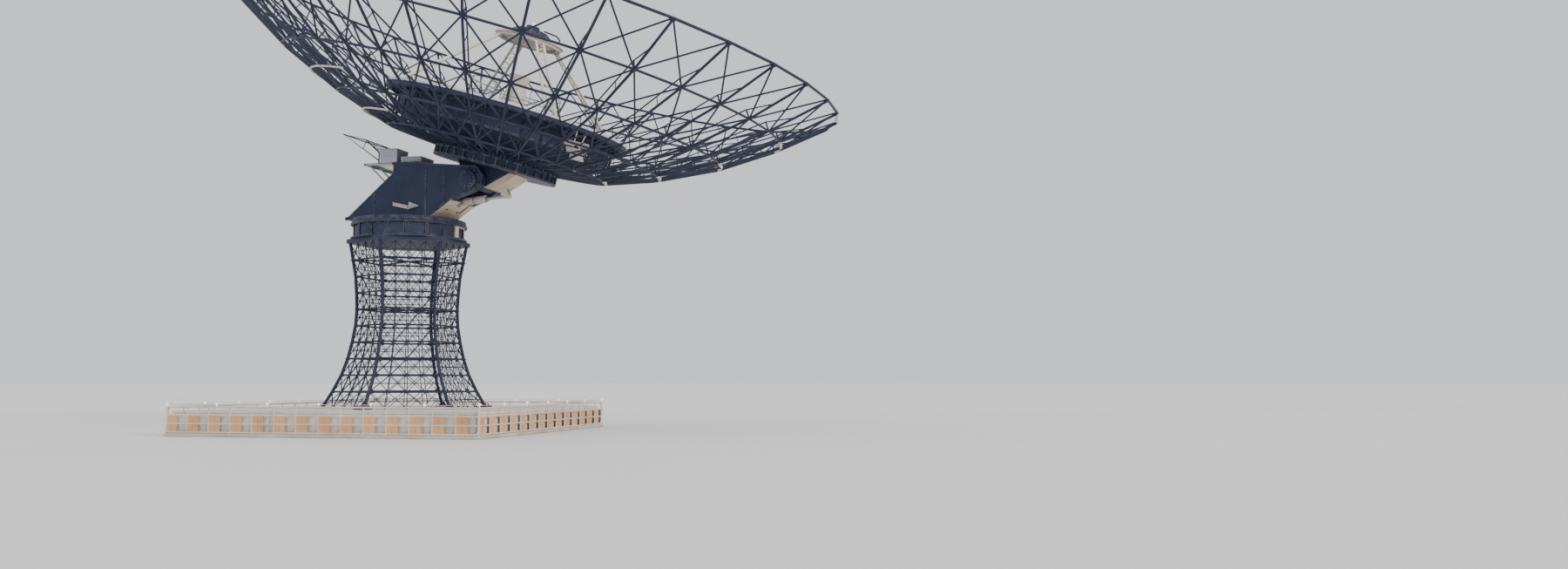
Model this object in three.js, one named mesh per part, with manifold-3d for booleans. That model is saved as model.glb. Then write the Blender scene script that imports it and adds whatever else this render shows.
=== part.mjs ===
// A steerable dish antenna on a six-sided lattice tower with a square fenced plinth.
// Millimetres, Z up, the ground at Z = 0 under the tower's axis, the dish leaning towards +X.
import * as THREE from "three";
import { mergeVertices } from "three/addons/utils/BufferGeometryUtils.js";
import Module from "manifold-3d";

const wasm = await Module();
wasm.setup();

// Gap left between pieces that rest on each other, and between a pin or rod and its bore.
const GAP = 0.3;
const RUNNING = 0.5;

// Solids and meshes

function solidOf(geometry) {
  const plain = geometry.index ? geometry.toNonIndexed() : geometry.clone();
  plain.deleteAttribute("normal");
  plain.deleteAttribute("uv");
  const merged = mergeVertices(plain, 1e-3);
  return new wasm.Manifold(
    new wasm.Mesh({
      numProp: 3,
      vertProperties: merged.attributes.position.array,
      triVerts: new Uint32Array(merged.index.array),
    }),
  );
}

function geometryOf(solid) {
  const mesh = solid.getMesh();
  const geometry = new THREE.BufferGeometry();
  geometry.setAttribute("position", new THREE.BufferAttribute(mesh.vertProperties, 3));
  geometry.setIndex(new THREE.BufferAttribute(mesh.triVerts, 1));
  geometry.computeVertexNormals();
  return geometry;
}

function joined(solids) {
  return solids.reduce((sum, next) => sum.add(next));
}

const COLOURS = {
  steel: 0x3c4658,
  cream: 0xd9d6c6,
  fence: 0x8a7350,
  white: 0xe4e4e0,
  grey: 0x9298a0,
};

function meshOf(name, solid, colour) {
  const material = new THREE.MeshStandardMaterial({ color: COLOURS[colour], roughness: 0.6 });
  const mesh = new THREE.Mesh(geometryOf(solid), material);
  mesh.name = name;
  return mesh;
}

// Simple shapes

function box(x0, x1, y0, y1, z0, z1) {
  const geometry = new THREE.BoxGeometry(x1 - x0, y1 - y0, z1 - z0);
  geometry.translate((x0 + x1) / 2, (y0 + y1) / 2, (z0 + z1) / 2);
  return solidOf(geometry);
}

// A profile of [x, z] points drawn out along Y.
function plateXZ(points, y0, y1) {
  const shape = new THREE.Shape(points.map(([x, z]) => new THREE.Vector2(x, z)));
  const geometry = new THREE.ExtrudeGeometry(shape, { depth: y1 - y0, bevelEnabled: false });
  geometry.rotateX(Math.PI / 2);
  geometry.translate(0, y1, 0);
  return solidOf(geometry);
}

// A closed profile of [radius, height] points turned about Z.
function turned(points, sides) {
  const profile = [...points, points[0]].map(([r, z]) => new THREE.Vector2(r, z));
  const geometry = new THREE.LatheGeometry(profile, sides);
  geometry.rotateX(Math.PI / 2);
  return solidOf(geometry);
}

function discZ(radius, z0, z1, sides) {
  return turned([[0, z0], [radius, z0], [radius, z1], [0, z1]], sides);
}

function cylinderY(radius, x, z, y0, y1, sides) {
  const geometry = new THREE.CylinderGeometry(radius, radius, y1 - y0, sides);
  geometry.translate(x, (y0 + y1) / 2, z);
  return solidOf(geometry);
}

function cylinderX(radius, x0, x1, y, z, sides) {
  const geometry = new THREE.CylinderGeometry(radius, radius, x1 - x0, sides);
  geometry.rotateZ(Math.PI / 2);
  geometry.translate((x0 + x1) / 2, y, z);
  return solidOf(geometry);
}

// The space round a pin or rod that lies along Y or X: its flat sides face the pin's corners.
function boreY(radius, x, z, y0, y1, sides) {
  const geometry = new THREE.CylinderGeometry(1, 1, y1 - y0, sides);
  const reach = (radius + RUNNING) / Math.cos(Math.PI / sides);
  geometry.rotateY(Math.PI / sides);
  geometry.scale(reach, 1, reach);
  geometry.translate(x, (y0 + y1) / 2, z);
  return solidOf(geometry);
}

function boreX(radius, x0, x1, sides) {
  const geometry = new THREE.CylinderGeometry(1, 1, x1 - x0, sides);
  const reach = (radius + RUNNING) / Math.cos(Math.PI / sides);
  geometry.rotateY(Math.PI / sides);
  geometry.scale(reach, 1, reach);
  geometry.rotateZ(Math.PI / 2);
  geometry.translate((x0 + x1) / 2, 0, 0);
  return solidOf(geometry);
}

// A square bar through the given points, its corners mitred. "out" gives, for a point,
// the direction that one face of the bar looks in.
function barThrough(points, width, depth, out) {
  const corners = [];
  points.forEach((point, i) => {
    const before = points[Math.max(i - 1, 0)];
    const after = points[Math.min(i + 1, points.length - 1)];
    const into = i > 0 ? point.clone().sub(before).normalize() : null;
    const onward = i < points.length - 1 ? after.clone().sub(point).normalize() : null;
    const along = (into ?? onward).clone().add(onward ?? into).normalize();
    const stretch = into && onward ? 1 / along.dot(onward) : 1;
    const side = new THREE.Vector3().crossVectors(along, out(point)).normalize();
    const face = new THREE.Vector3().crossVectors(side, along).normalize();
    const turn = into && onward ? onward.clone().sub(into) : new THREE.Vector3();
    const bendsInFace = Math.abs(turn.dot(face)) > Math.abs(turn.dot(side));
    const faceStep = face.multiplyScalar((depth / 2) * (bendsInFace ? stretch : 1));
    const sideStep = side.multiplyScalar((width / 2) * (bendsInFace ? 1 : stretch));
    corners.push([
      point.clone().sub(sideStep).sub(faceStep),
      point.clone().add(sideStep).sub(faceStep),
      point.clone().add(sideStep).add(faceStep),
      point.clone().sub(sideStep).add(faceStep),
    ]);
  });
  return solidOf(shellOf(corners));
}

// The closed skin over a row of four-cornered sections.
function shellOf(sections) {
  const positions = [];
  const face = (...points) => points.forEach((p) => positions.push(p.x, p.y, p.z));
  for (let i = 0; i + 1 < sections.length; i++) {
    for (let k = 0; k < 4; k++) {
      const [a, b] = [sections[i][k], sections[i][(k + 1) % 4]];
      const [c, d] = [sections[i + 1][(k + 1) % 4], sections[i + 1][k]];
      face(a, c, b);
      face(a, d, c);
    }
  }
  const first = sections[0];
  const last = sections[sections.length - 1];
  face(first[0], first[1], first[2]);
  face(first[0], first[2], first[3]);
  face(last[0], last[2], last[1]);
  face(last[0], last[3], last[2]);
  const geometry = new THREE.BufferGeometry();
  geometry.setAttribute("position", new THREE.Float32BufferAttribute(positions, 3));
  return geometry;
}

const V = (x, y, z) => new THREE.Vector3(x, y, z);
const polar = (radius, angle, z) => V(radius * Math.cos(angle), radius * Math.sin(angle), z);
const degrees = (value) => (value * Math.PI) / 180;

// Plinth and fence

const PLINTH = { half: 5780, top: 900, ledge: 5960, ledgeTop: 120 };
const FENCE = { half: 5900, thick: 60, low: PLINTH.ledgeTop + GAP, high: 1070, bays: 14 };

function plinth() {
  const { half, top, ledge, ledgeTop } = PLINTH;
  const foot = box(-ledge, ledge, -ledge, ledge, 0, ledgeTop);
  return foot.add(box(-half, half, -half, half, ledgeTop - 10, top));
}

// One fence side in its own plane: a top row of openings, and below them slats with gaps.
function fencePanel(halfLength) {
  const { thick, low, high, bays } = FENCE;
  const panel = box(-halfLength, halfLength, -thick / 2, thick / 2, low, high);
  const bay = (2 * halfLength) / bays;
  const openings = [];
  for (let i = 0; i < bays; i++) {
    const x = -halfLength + i * bay;
    openings.push(box(x + 40, x + bay - 40, -thick, thick, 790, 1010));
    openings.push(box(x + 440, x + bay - 50, -thick, thick, 190, 720));
  }
  return panel.subtract(joined(openings));
}

// Tower: posts at the six corners of a waisted outline, each face braced between its posts

const TOWER = {
  low: PLINTH.top + GAP,
  high: 7250,
  bays: 10,
  post: 170,
  bar: 80,
  brace: 60,
};
// Height and distance of a post's centre from the axis.
const WAIST = [
  [900, 3060],
  [1430, 2740],
  [2100, 2400],
  [3000, 2100],
  [4000, 1920],
  [4830, 1870],
  [6000, 1960],
  [7250, 2180],
];

function towerRadius(z) {
  const i = Math.max(1, WAIST.findIndex(([height]) => height >= z));
  const [z0, r0] = WAIST[i - 1];
  const [z1, r1] = WAIST[i];
  return r0 + ((r1 - r0) * (z - z0)) / (z1 - z0);
}

function towerLevels() {
  const { low, high, bays } = TOWER;
  return Array.from({ length: bays + 1 }, (_, i) => low + ((high - low) * i) / bays);
}

const postAngle = (k) => degrees(30 + 60 * k);
const outward = (point) => V(point.x, point.y, 0).normalize();

function towerPost(k, extra) {
  const points = towerLevels().map((z) => polar(towerRadius(z), postAngle(k), z));
  return barThrough(points, TOWER.post + extra, TOWER.post + extra, outward);
}

function towerFace(k) {
  const levels = towerLevels();
  const { bar, brace } = TOWER;
  const nodeAt = (post, level) => {
    const z = levels[level];
    return polar(towerRadius(z), postAngle(post), z);
  };
  const pieces = [towerPost(k, 0)];
  for (let level = 1; level < levels.length - 1; level++) {
    pieces.push(barThrough([nodeAt(k, level), nodeAt(k + 1, level)], bar, bar, outward));
  }
  for (let level = 0; level < levels.length - 1; level++) {
    const [from, to] = level % 2 ? [k + 1, k] : [k, k + 1];
    const ends = [nodeAt(from, level), nodeAt(to, level + 1)];
    pieces.push(barThrough(ends, brace, brace, outward));
  }
  const body = joined(pieces).subtract(towerPost(k + 1, 2 * GAP));
  const keep = box(-5000, 5000, -5000, 5000, TOWER.low, TOWER.high);
  return body.intersect(keep);
}

const CAP = { low: TOWER.high + GAP, high: 7420, across: 2330 };

function towerCap() {
  const corners = Array.from({ length: 6 }, (_, k) => polar(CAP.across, postAngle(k), 0));
  const shape = new THREE.Shape(corners.map((p) => new THREE.Vector2(p.x, p.y)));
  const depth = CAP.high - CAP.low;
  const geometry = new THREE.ExtrudeGeometry(shape, { depth, bevelEnabled: false });
  geometry.translate(0, 0, CAP.low);
  return solidOf(geometry);
}

// Azimuth drum: two flanges with a narrower wall between them

function azimuthDrum() {
  const low = CAP.high + GAP;
  const profile = [
    [0, low],
    [2200, low],
    [2200, low + 70],
    [2080, low + 70],
    [2080, 7960],
    [2200, 7960],
    [2200, 8040],
    [1900, 8040],
    [1900, HEAD.low - RUNNING],
    [0, HEAD.low - RUNNING],
  ];
  return turned(profile, 24);
}

// Turning head

const HEAD = { low: 8046, high: 8200, radius: 2150 };
const ELEVATION = { x: 3000, z: 9600 };
const SHAFT = 200;
const YOKE = { half: 1000, slot: 620, top: 10400, floor: 8500 };

function headPlate() {
  return discZ(HEAD.radius, HEAD.low, HEAD.high, 36);
}

function yoke() {
  const low = HEAD.high + GAP;
  const side = [
    [-2200, low],
    [1300, low],
    [2250, 8880],
    [3150, 9200],
    [3450, 9420],
    [3500, 9800],
    [3330, 10080],
    [3200, 10150],
    [1100, 10330],
    [950, YOKE.top],
    [-200, YOKE.top],
    [-200, 9990],
  ];
  const body = plateXZ(side, -YOKE.half, YOKE.half);
  const slot = box(800, 4000, -YOKE.slot, YOKE.slot, YOKE.floor, 11000);
  const bore = boreY(SHAFT, ELEVATION.x, ELEVATION.z, -1500, 1500, 24);
  return body.subtract(slot).subtract(bore);
}

// The housing outside one yoke arm, with a blind bore for the shaft's end.
function bearingHousing(side) {
  const inner = side * (YOKE.half + GAP);
  const outer = side * 1290;
  const [y0, y1] = inner < outer ? [inner, outer] : [outer, inner];
  const body = cylinderY(430, ELEVATION.x, ELEVATION.z, y0, y1, 24);
  const [b0, b1] = side > 0 ? [y0 - 50, 1190] : [-1190, y1 + 50];
  return body.subtract(boreY(SHAFT, ELEVATION.x, ELEVATION.z, b0, b1, 24));
}

const DECK = { x0: -1450, x1: -200 - GAP, half: 1000, low: 10310, high: 10400 };

function serviceDeck() {
  return box(DECK.x0, DECK.x1, -DECK.half, DECK.half, DECK.low, DECK.high);
}

// Two side frames that rise outwards from the deck, with bars across at their outer corners.
function deckRails() {
  const y = DECK.half - 40;
  const outline = [
    [-850, 10800],
    [-1400, 11320],
    [-2400, 11600],
    [-850, 10500],
  ];
  const across = () => V(0, 1, 0);
  const pieces = [];
  for (const side of [-y, y]) {
    const points = outline.map(([x, z]) => V(x, side, z));
    pieces.push(barThrough(points, 50, 50, across));
    const post = [V(-850, side, DECK.high + GAP), V(-850, side, 10830)];
    pieces.push(barThrough(post, 50, 50, across));
  }
  for (const [x, z] of [outline[1], outline[2]]) {
    pieces.push(barThrough([V(x, -y, z), V(x, y, z)], 50, 50, () => V(0, 0, 1)));
  }
  return joined(pieces);
}

function cabinet() {
  return box(-820, -60, -1000, -100, DECK.high + GAP, 10950);
}

function headHousing() {
  return box(60, 930, -950, 100, YOKE.top + GAP, 10620);
}

function azimuthDrive() {
  const low = YOKE.top + GAP;
  const foot = box(-190, 490, 200, 850, low, low + 90);
  const motor = cylinderX(165, -180, 470, 525, low + 200, 16);
  return foot.add(motor);
}

// Elevation jack: "length" runs from its pivot to the eye's centre

const JACK = { x: 1600, z: 8850, slope: degrees(5.7106), length: 2512.5, tubeEnd: 1650, rod: 70 };

function jackBracket() {
  const low = YOKE.floor + GAP;
  const foot = box(900, 1310, -480, 480, low, low + 90);
  const cheek = (y0, y1) => box(1300, 1710, y0, y1, low, 8990);
  return joined([foot, cheek(-480, -390), cheek(390, 480)]);
}

// In the jack's own frame X runs along the screw from the pivot.
function jackBody() {
  const gearbox = box(-260, 330, -300, 300, -190, 210);
  const tube = cylinderX(120, 300, JACK.tubeEnd, 0, 0, 16);
  const motor = cylinderX(120, -200, 260, 0, 300, 12);
  const pivots = cylinderY(70, 0, 0, RUNNING - 390, 390 - RUNNING, 12);
  const bore = boreX(JACK.rod, 60, JACK.tubeEnd + 50, 16);
  return joined([gearbox, tube, motor, pivots]).subtract(bore);
}

function jackScrew() {
  const rod = cylinderX(JACK.rod, 850, JACK.length - 100, 0, 0, 16);
  const eye = box(JACK.length - 140, JACK.length + 100, -70, 70, -90, 90);
  return rod.add(eye);
}

// Dish: its own frame has its origin at the rim's centre and Z along the beam

const DISH = { x: 4900, z: 15150, tilt: degrees(15), ribs: 36, sectors: 6 };
// Radius and depth below the origin of each ring of the back structure.
const RINGS = [
  [12400, -90],
  [10500, 1380],
  [8450, 2720],
  [6250, 3780],
  [4250, 4480],
];
const DISC = { radius: 4700, high: -3000, low: -3250 };
const HUB = { radius: 2400, low: -5200 };
// The pan that fills the space between hub and disc, inside the innermost ring.
const PAN = { radius: 4100, low: -4050, root: -4500 };
// Disc and hub have one flat side facing each rib, nearer the axis than their corners.
const FLAT = Math.cos(Math.PI / DISH.ribs);

function dishRib(angle) {
  const depth = 220;
  const points = [...RINGS, [HUB.radius * FLAT + GAP, 4780]];
  const outer = points.map(([r, d]) => [r, -d - depth / 2]);
  const inner = points.map(([r, d]) => [r, -d + depth / 2]).reverse();
  outer[0] = [12480, 90];
  inner[inner.length - 1] = [12330, 200];
  const rib = plateXZ([...outer, ...inner], -60, 60);
  return rib.rotate([0, 0, (angle * 180) / Math.PI]);
}

// Each post stands between the innermost ring and the underside of the central disc.
function discPost(angle) {
  const [radius, depth] = RINGS[RINGS.length - 1];
  const post = box(radius - 60, radius + 60, -60, 60, -depth, DISC.low - GAP);
  return post.rotate([0, 0, (angle * 180) / Math.PI]);
}

function dishSector(index) {
  const bay = (2 * Math.PI) / DISH.ribs;
  const perSector = DISH.ribs / DISH.sectors;
  const start = index * perSector * bay;
  const angles = Array.from({ length: perSector }, (_, j) => start + (j + 0.5) * bay);
  const pieces = [];
  for (const angle of angles) {
    pieces.push(dishRib(angle));
    pieces.push(discPost(angle));
  }
  RINGS.forEach(([radius, depth], ring) => {
    const width = ring === 0 ? 180 : 130;
    const run = [start - 0.5 * bay, ...angles, start + (perSector + 0.5) * bay];
    const points = run.map((angle) => polar(radius, angle, -depth));
    pieces.push(barThrough(points, width, width, outward));
  });
  return joined(pieces).intersect(sectorWedge(start, start + perSector * bay));
}

// The space of one sector, short of its neighbours by half a gap on each side.
function sectorWedge(from, to) {
  const reach = 15000;
  const middle = (from + to) / 2;
  const tip = polar(GAP / Math.sin((to - from) / 2) / 2, middle, 0);
  const corners = [tip, tip.clone().add(polar(reach, from, 0)), tip.clone().add(polar(reach, to, 0))];
  const shape = new THREE.Shape(corners.map((p) => new THREE.Vector2(p.x, p.y)));
  const geometry = new THREE.ExtrudeGeometry(shape, { depth: 8000, bevelEnabled: false });
  geometry.translate(0, 0, -7000);
  return solidOf(geometry);
}

function centralDisc() {
  return discZ(DISC.radius, DISC.low, DISC.high, 36);
}

function hub() {
  const top = DISC.low - GAP;
  const profile = [
    [0, HUB.low],
    [HUB.radius, HUB.low],
    [HUB.radius, PAN.root],
    [PAN.radius, PAN.low],
    [PAN.radius, top],
    [0, top],
  ];
  return turned(profile, 36);
}

const CRADLE = { half: 570 };

// Fills the yoke's slot and carries the shaft that turns in the yoke's arms.
function cradle() {
  const [u, w] = elevationInDish();
  const top = HUB.low - GAP;
  const side = [
    [-1300, top],
    [u - 420, w - 120],
    [u - 200, w - 260],
    [u + 200, w - 260],
    [u + 420, w - 120],
    [900, top],
  ];
  const body = plateXZ(side, -CRADLE.half, CRADLE.half);
  return body.add(cylinderY(SHAFT, u, w, -1160, 1160, 24));
}

// The pale box in front of the cradle: its long lower face runs from "tip" up to the hub.
const NOSE = { tip: [454, -5945], end: 1195 };

function nose() {
  const [u, w] = elevationInDish();
  const top = HUB.low - GAP;
  const seam = 1.5 * GAP;
  const outline = [[u + 420 + seam, w - 120], NOSE.tip, [NOSE.end, top], [900 + seam, top]];
  return plateXZ(outline, -CRADLE.half, CRADLE.half);
}

function elevationInDish() {
  const [x, z] = [ELEVATION.x - DISH.x, ELEVATION.z - DISH.z];
  const { tilt } = DISH;
  return [
    x * Math.cos(tilt) - z * Math.sin(tilt),
    x * Math.sin(tilt) + z * Math.cos(tilt),
  ];
}

// Two plates on the nose's lower face that stand each side of the screw's eye. Points are
// given as the distance up that face and the distance out of it.
function jackClevis() {
  const run = [NOSE.end - NOSE.tip[0], HUB.low - GAP - NOSE.tip[1]];
  const length = Math.hypot(...run);
  const [along, up] = run.map((value) => value / length);
  const place = ([a, n]) => [NOSE.tip[0] + along * a + up * n, NOSE.tip[1] + up * a - along * n];
  const foot = [[0, GAP], [400, GAP], [400, 40], [0, 40]].map(place);
  const cheek = [[30, 30], [60, 330], [110, 415], [218, 415], [268, 330], [330, 30]].map(place);
  return joined([
    plateXZ(foot, -220, 220),
    plateXZ(cheek, -170, -90),
    plateXZ(cheek, 90, 170),
  ]);
}

function feedCone() {
  const low = DISC.high + GAP;
  const profile = [
    [0, low],
    [750, low],
    [750, low + 120],
    [520, low + 120],
    [340, low + 1250],
    [430, low + 1600],
    [0, low + 1600],
  ];
  return turned(profile, 20);
}

const SMALL_MIRROR = { radius: 1350, height: 0 };

function quadrupod() {
  const ring = turned([[1080, -110], [1250, -110], [1250, 0], [1080, 0]], 24);
  const legs = [45, 135, 225, 315].map((value) => {
    const angle = degrees(value);
    const ends = [polar(4420, angle, DISC.high - 200), polar(1165, angle, -60)];
    return barThrough(ends, 150, 150, outward);
  });
  const keep = box(-6000, 6000, -6000, 6000, DISC.high + GAP, 0);
  return joined([ring, ...legs]).intersect(keep);
}

function smallMirror() {
  const low = SMALL_MIRROR.height + GAP;
  const profile = [
    [0, low - 190],
    [500, low - 150],
    [950, low - 60],
    [1060, low],
    [1350, low],
    [1350, low + 90],
    [0, low + 90],
  ];
  return turned(profile, 24);
}

function mirrorBacking() {
  const low = SMALL_MIRROR.height + 2 * GAP + 90;
  const profile = [
    [0, low],
    [1000, low],
    [620, low + 300],
    [260, low + 380],
    [260, low + 520],
    [0, low + 520],
  ];
  return turned(profile, 24);
}

// The whole antenna

const model = new THREE.Group();
const add = (name, solid, colour, parent = model) => parent.add(meshOf(name, solid, colour));

add("plinth", plinth(), "white");
["front", "right", "back", "left"].forEach((side, i) => {
  const across = i % 2 === 1;
  const reach = across ? FENCE.half - FENCE.thick / 2 - GAP : FENCE.half + FENCE.thick / 2;
  const panel = meshOf("fence_" + side, fencePanel(reach), "fence");
  panel.rotation.z = degrees(90 * i);
  const away = degrees(90 * i - 90);
  panel.position.copy(polar(FENCE.half, away, 0));
  model.add(panel);
});
for (let k = 0; k < 6; k++) add("tower_face_" + (k + 1), towerFace(k), "steel");
add("tower_cap", towerCap(), "steel");
add("azimuth_drum", azimuthDrum(), "steel");
add("head_plate", headPlate(), "steel");
add("yoke", yoke(), "steel");
add("bearing_left", bearingHousing(1), "steel");
add("bearing_right", bearingHousing(-1), "steel");
add("service_deck", serviceDeck(), "grey");
add("deck_rails", deckRails(), "steel");
add("cabinet", cabinet(), "grey");
add("head_housing", headHousing(), "steel");
add("azimuth_drive", azimuthDrive(), "grey");
add("jack_bracket", jackBracket(), "grey");

const jack = new THREE.Group();
jack.position.set(JACK.x, 0, JACK.z);
jack.rotation.y = -JACK.slope;
add("jack_body", jackBody(), "grey", jack);
add("jack_screw", jackScrew(), "grey", jack);
model.add(jack);

const dish = new THREE.Group();
dish.position.set(DISH.x, 0, DISH.z);
dish.rotation.y = DISH.tilt;
for (let s = 0; s < DISH.sectors; s++) add("dish_sector_" + (s + 1), dishSector(s), "steel", dish);
add("central_disc", centralDisc(), "steel", dish);
add("hub", hub(), "steel", dish);
add("cradle", cradle(), "steel", dish);
add("nose", nose(), "cream", dish);
add("jack_clevis", jackClevis(), "grey", dish);
add("feed_cone", feedCone(), "cream", dish);
add("quadrupod", quadrupod(), "cream", dish);
add("small_mirror", smallMirror(), "cream", dish);
add("mirror_backing", mirrorBacking(), "steel", dish);
model.add(dish);

export default model;
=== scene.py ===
import math

import bpy
from mathutils import Matrix, Vector


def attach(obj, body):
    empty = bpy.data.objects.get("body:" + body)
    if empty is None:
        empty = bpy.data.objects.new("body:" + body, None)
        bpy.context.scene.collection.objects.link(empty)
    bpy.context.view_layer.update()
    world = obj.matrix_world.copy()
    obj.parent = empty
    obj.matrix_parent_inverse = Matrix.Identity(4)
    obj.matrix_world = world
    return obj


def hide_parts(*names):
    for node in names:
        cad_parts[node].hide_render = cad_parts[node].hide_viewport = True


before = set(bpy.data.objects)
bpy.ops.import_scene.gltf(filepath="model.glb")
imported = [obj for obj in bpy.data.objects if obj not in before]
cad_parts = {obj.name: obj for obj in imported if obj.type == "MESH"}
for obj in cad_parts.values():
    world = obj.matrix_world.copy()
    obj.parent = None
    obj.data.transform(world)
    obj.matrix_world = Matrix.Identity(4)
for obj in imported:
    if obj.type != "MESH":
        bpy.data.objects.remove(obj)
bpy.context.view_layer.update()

# The gap that each solid keeps to its neighbour.
GAP = 0.0003


# Frames

ACROSS = Vector((0, 1, 0))


def polar(radius, degrees, z=0.0):
    angle = math.radians(degrees)
    return Vector((radius * math.cos(angle), radius * math.sin(angle), z))


def turn(degrees, axis="Z"):
    return Matrix.Rotation(math.radians(degrees), 4, axis)


def sideways(sign):
    """Turns a shape's Z axis onto +Y or -Y."""
    return turn(-90 * sign, "X")


def shift(x, y, z):
    return Matrix.Translation((x, y, z))


def axes(origin, x, y):
    """A frame at the origin with those X and Y axes; its Z stands square to both."""
    z = x.cross(y).normalized()
    return Matrix.Translation(origin) @ Matrix((x, y, z)).transposed().to_4x4()


# Turns a shape's Z axis onto X, and a flat outline into the XZ plane.
ALONG_X = turn(90, "Y")
UPRIGHT = turn(90, "X")
UPSIDE_DOWN = turn(180, "X")


# Meshes


class Skin:
    """Points and faces of one piece, gathered before its mesh is made."""

    def __init__(self):
        self.points = []
        self.faces = []

    def add(self, points, faces, at=None):
        first = len(self.points)
        self.points.extend([at @ p for p in points] if at else points)
        self.faces.extend(tuple(first + i for i in face) for face in faces)

    def move(self, at):
        self.points = [at @ p for p in self.points]

    def mesh(self, name, material):
        made = bpy.data.meshes.new(name)
        made.from_pydata([tuple(p) for p in self.points], [], self.faces)
        made.materials.append(material)
        return made


def place(name, data):
    """Puts a mesh, a light or a camera into the scene."""
    made = bpy.data.objects.new(name, data)
    bpy.context.scene.collection.objects.link(made)
    return made


def pipe(skin, points, radius, sides=8, closed=False):
    """A round bar through the points, its corners mitred, its ends closed."""
    points = [Vector(p) for p in points]
    count = len(points)
    last = count - 1
    rings = []
    side = None
    for i, point in enumerate(points):
        before = points[i - 1] if i > 0 or closed else point
        after = points[(i + 1) % count] if i < last or closed else point
        into = (point - before).normalized()
        onward = (after - point).normalized()
        along = (into + onward).normalized()
        if side is None:
            side = along.orthogonal()
        side = (side - along * side.dot(along)).normalized()
        up = along.cross(side)
        bend = (onward - into).normalized()
        stretch = 1.0 / max(0.5, along.dot(onward)) if into.length and onward.length else 1.0
        for k in range(sides):
            angle = 2 * math.pi * k / sides
            offset = (side * math.cos(angle) + up * math.sin(angle)) * radius
            offset += bend * offset.dot(bend) * (stretch - 1.0)
            rings.append(point + offset)
    faces = []
    for i in range(count if closed else last):
        a = i * sides
        b = (i + 1) % count * sides
        for k in range(sides):
            n = (k + 1) % sides
            faces.append((a + k, a + n, b + n, b + k))
    if not closed:
        faces.append(tuple(reversed(range(sides))))
        faces.append(tuple(range(last * sides, count * sides)))
    skin.add(rings, faces)


def tube(skin, start, end, radius, sides=8):
    pipe(skin, [start, end], radius, sides)


def plate(skin, outline, low, high, at=None):
    """A flat plate between the heights low and high, its outline running anticlockwise."""
    count = len(outline)
    points = [Vector((x, y, z)) for z in (low, high) for x, y in outline]
    faces = [tuple(reversed(range(count))), tuple(range(count, 2 * count))]
    for i in range(count):
        n = (i + 1) % count
        faces.append((i, n, count + n, count + i))
    skin.add(points, faces, at)


def box(skin, low, high, at=None):
    (x0, y0, z0), (x1, y1, z1) = low, high
    plate(skin, [(x0, y0), (x1, y0), (x1, y1), (x0, y1)], z0, z1, at)


def turned(skin, profile, sides, at=None):
    """A profile of (radius, height) pairs turned about Z, listed upwards along its outside."""
    points = []
    rings = []
    for radius, height in profile:
        if radius < 1e-6:
            rings.append([len(points)] * sides)
            points.append(Vector((0, 0, height)))
            continue
        rings.append(list(range(len(points), len(points) + sides)))
        points.extend(polar(radius, 360 * k / sides, height) for k in range(sides))
    faces = []
    for i, ring in enumerate(rings):
        above = rings[(i + 1) % len(rings)]
        for k in range(sides):
            n = (k + 1) % sides
            corners = list(dict.fromkeys((ring[k], ring[n], above[n], above[k])))
            if len(corners) > 2:
                faces.append(tuple(corners))
    skin.add(points, faces, at)


def disc(skin, radius, low, high, sides, at=None):
    turned(skin, [(0, low), (radius, low), (radius, high), (0, high)], sides, at)


def ball(skin, centre, radius, sides=10, rows=6):
    angles = [math.pi * i / rows for i in range(1, rows)]
    profile = [(radius * math.sin(a), -radius * math.cos(a)) for a in angles]
    turned(skin, [(0, -radius)] + profile + [(0, radius)], sides, shift(*centre))


def rim(radius, low, high, lip=0.01):
    """The outer edge of a turned flange, with its two corners taken off."""
    return [(radius - lip, low), (radius, low + lip), (radius, high - lip), (radius - lip, high)]


def rounded(x0, x1, z0, z1, radius, steps=5):
    """Corners of an upright rounded rectangle, anticlockwise, as (x, z) pairs."""
    centres = [(x1 - radius, z0 + radius, -90), (x1 - radius, z1 - radius, 0),
               (x0 + radius, z1 - radius, 90), (x0 + radius, z0 + radius, 180)]
    return [polar(radius, start + 90 * i / steps).xy + Vector((x, z))
            for x, z, start in centres for i in range(steps + 1)]


def wall_block(skin, inner, outer, start, end, low, high, steps=6):
    """A block of a round wall between two angles in degrees."""
    angles = [start + (end - start) * i / steps for i in range(steps + 1)]
    outline = [polar(outer, a).xy for a in angles] + [polar(inner, a).xy for a in reversed(angles)]
    plate(skin, outline, low, high)


def bolt(skin, at, radius, height):
    """A hexagonal bolt head that stands on the XY plane of the frame."""
    profile = [(0, 0), (radius, 0), (radius, height * 0.8), (radius * 0.8, height), (0, height)]
    turned(skin, profile, 6, at)


def bolt_row(skin, at, start, end, count, radius, height):
    """Bolts at even steps from start to end, both given in the frame."""
    for i in range(count):
        spot = Vector(start).lerp(Vector(end), i / (count - 1))
        bolt(skin, at @ shift(*spot), radius, height)


def ring_of_bolts(skin, count, radius, height, size=0.022, at=Matrix(), start=0.0):
    """Bolts on a circle about the frame's Z axis, the first at the start angle in degrees."""
    for i in range(count):
        spot = polar(radius, start + 360 * i / count, height)
        bolt(skin, at @ shift(*spot), size, size)


def soften(made, width):
    modifier = made.modifiers.new("soft_edges", "BEVEL")
    modifier.width = width
    modifier.segments = 2
    modifier.limit_method = "ANGLE"
    modifier.angle_limit = math.radians(40)
    modifier.harden_normals = True


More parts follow.
